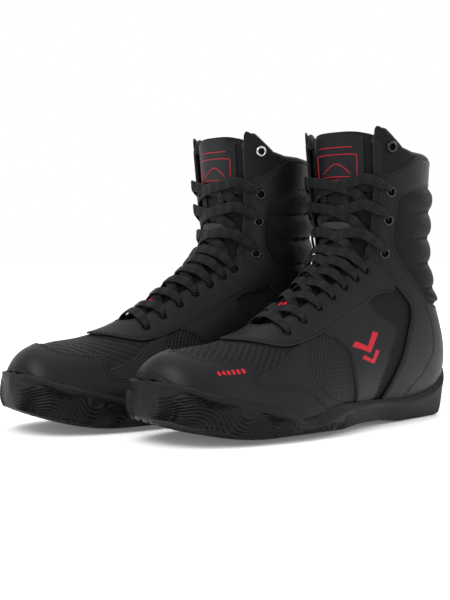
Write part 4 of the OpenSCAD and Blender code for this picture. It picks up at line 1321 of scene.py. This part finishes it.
@dataclass
class PullTab:
    """The short webbing loop at the back of the collar."""

    root: float = 14.85
    width: float = 20.0

    def build(self, boot: Boot) -> None:
        """Makes the folded webbing tab."""
        start = LAST.spot(self.root, 180.0, 0.0) + np.array([0, 0.6, 0])
        outer = [(0, 0.9), (2.4, 1.1), (3.6, 2.2), (5.2, 2.9), (6.9, 2.2), (7.7, 0.8), (7.7, -0.8),
                 (6.9, -2.2), (5.2, -2.9), (3.6, -2.2), (2.4, -1.1), (0, -0.9)]
        inner = [(0.6, 0.1), (3.0, 0.3), (4.0, 1.1), (5.2, 1.6), (6.2, 1.2), (6.6, 0.4), (6.6, -0.4),
                 (6.2, -1.2), (5.2, -1.6), (4.0, -1.1), (3.0, -0.3), (0.6, -0.1)]
        across = np.linspace(-self.width / 2, self.width / 2, 24)
        points, faces = [], []
        count = len(outer)
        for x in across:
            for y, z in outer + inner:
                points.append(start + np.array([x, y, z]))
        ring = 2 * count
        for i in range(len(across) - 1):
            for k in range(count):
                n = (k + 1) % count
                a, b = i * ring + k, i * ring + n
                faces.append((a, b, b + ring, a + ring))
                a, b = a + count, b + count
                faces.append((b, a, a + ring, b + ring))
        for end in (0, len(across) - 1):
            for k in range(count):
                n = (k + 1) % count
                a = end * ring
                faces.append((a + k, a + n, a + n + count, a + k + count))
        weave = np.stack([np.array(points)[:, 0], np.array(points)[:, 2]], axis=1)
        boot.put("pull_tab", Shape(np.array(points), faces, weave), WEBBING, "tab", replaces=["pull_tab"])


@dataclass
class Marks:
    """Printed marks of a generic design on the saddle and the toe."""

    def build(self, boot: Boot) -> None:
        """Makes a chevron badge on the lateral saddle and a row of bars on the toe."""
        badge = [
            [(7.24, 88.5), (7.42, 86), (7.78, 94), (8.14, 85), (8.3, 87.5), (7.8, 99.5)],
            [(7.44, 101), (7.56, 99), (7.8, 105), (8.03, 98.5), (8.13, 100.5), (7.81, 109)],
        ]
        shapes = [Panel(o, 1.2, 0.16, step=2.0, corners=frozenset(range(6)), rounding=0.15).shape()
                  for o in badge]
        boot.put("saddle_badge", Shape.joined(shapes), PRINT)
        bars = []
        for i in range(6):
            t = 3.08 + 0.155 * i
            bars.append(Panel([(t, 66.5), (t + 0.09, 65.5), (t + 0.11, 71.5), (t + 0.02, 72.5)],
                              2.12, 0.14, step=1.6, corners=frozenset(range(4)), rounding=0.12).shape())
        boot.put("toe_bars", Shape.joined(bars), PRINT)


def dress_hidden(side: Side) -> None:
    """Gives the hidden CAD pieces of one boot their finishes."""
    finishes = {"midsole": FOAM, "insole_board": BOARD, "footbed": SOCK, "toe_puff": STIFFENER,
                "heel_stiffener": STIFFENER}
    for node, finish in finishes.items():
        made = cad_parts[f"{side.value}_{node}"]
        made.data.materials.clear()
        made.data.materials.append(finish.material())


# ---------------------------------------------------------------- studio


@dataclass
class Studio:
    """A pale floor, soft lights and the camera."""

    azimuth: float = 51.96
    elevation: float = 2.18
    distance: float = 1.00575
    lens: float = 76.05
    aside: float = -0.03289
    height: float = 0.09542

    def build(self) -> None:
        """Sets the camera, the lights and the floor."""
        a, e = math.radians(self.azimuth), math.radians(self.elevation)
        back = Vector((math.sin(a) * math.cos(e), -math.cos(a) * math.cos(e), math.sin(e)))
        right = Vector((math.cos(a), math.sin(a), 0))
        target = right * self.aside + Vector((0, CENTRE_Y * MM, self.height))
        data = bpy.data.cameras.new("camera")
        data.lens, data.sensor_width = self.lens, 36.0
        camera = bpy.data.objects.new("camera", data)
        bpy.context.scene.collection.objects.link(camera)
        camera.location = target + back * self.distance
        up = back.cross(right)
        camera.rotation_mode = "QUATERNION"
        turn = Matrix((right, up, back)).transposed()
        camera.rotation_quaternion = turn.to_quaternion()
        bpy.context.scene.camera = camera
        self.light("key", target + right * -0.7 + back * 0.8 + Vector((0, 0, 1.0)), target, 0.8, 13)
        self.light("fill", target + right * 1.1 + back * 0.5 + Vector((0, 0, 0.5)), target, 1.0, 2)
        self.light("top", target + back * -0.3 + Vector((0, 0, 1.5)), target, 1.4, 5)
        self.light("back", target + right * 0.6 - back * 1.0 + Vector((0, 0, 0.7)), target, 0.9, 7)
        bpy.context.scene.view_settings.view_transform = "Standard"
        world = bpy.data.worlds.new("studio")
        bpy.context.scene.world = world
        world.use_nodes = True
        world.node_tree.nodes["Background"].inputs[0].default_value = hex_colour("#ffffff")
        world.node_tree.nodes["Background"].inputs[1].default_value = 1.0
        self.floor()

    @staticmethod
    def light(name: str, place: Vector, target: Vector, size: float, power: float) -> None:
        """Adds a square softbox that faces the target."""
        data = bpy.data.lights.new(name, "AREA")
        data.size, data.energy = size, power
        made = bpy.data.objects.new(name, data)
        bpy.context.scene.collection.objects.link(made)
        made.location = place
        made.rotation_euler = (target - place).to_track_quat("-Z", "Y").to_euler()

    @staticmethod
    def floor() -> None:
        """Lays a pale floor of fine squares."""
        work = bmesh.new()
        bmesh.ops.create_grid(work, x_segments=8, y_segments=8, size=12.0)
        mesh = bpy.data.meshes.new("floor")
        work.to_mesh(mesh)
        work.free()
        made = bpy.data.objects.new("floor", mesh)
        bpy.context.scene.collection.objects.link(made)
        material = bpy.data.materials.new("studio_paper")
        material.use_nodes = True
        shader = material.node_tree.nodes["Principled BSDF"]
        shader.inputs["Base Color"].default_value = hex_colour("#f7f7f7")
        shader.inputs["Roughness"].default_value = 0.9
        shader.inputs["Emission Color"].default_value = hex_colour("#ffffff")
        shader.inputs["Emission Strength"].default_value = 0.12
        mesh.materials.append(material)


def main() -> None:
    """Builds both boots and the studio."""
    logging.basicConfig(level=logging.INFO, format="%(message)s")
    Studio().build()
    for side in Side:
        boot = Boot(side)
        for part in (Sole(), Upper(), Achilles(), Collar(), Tongue(), Lacing(), PullTab(), Marks()):
            part.build(boot)
        dress_hidden(side)
        LOG.info("%s boot: %d pieces", side.value, boot.made)


if __name__ == "__main__":
    main()
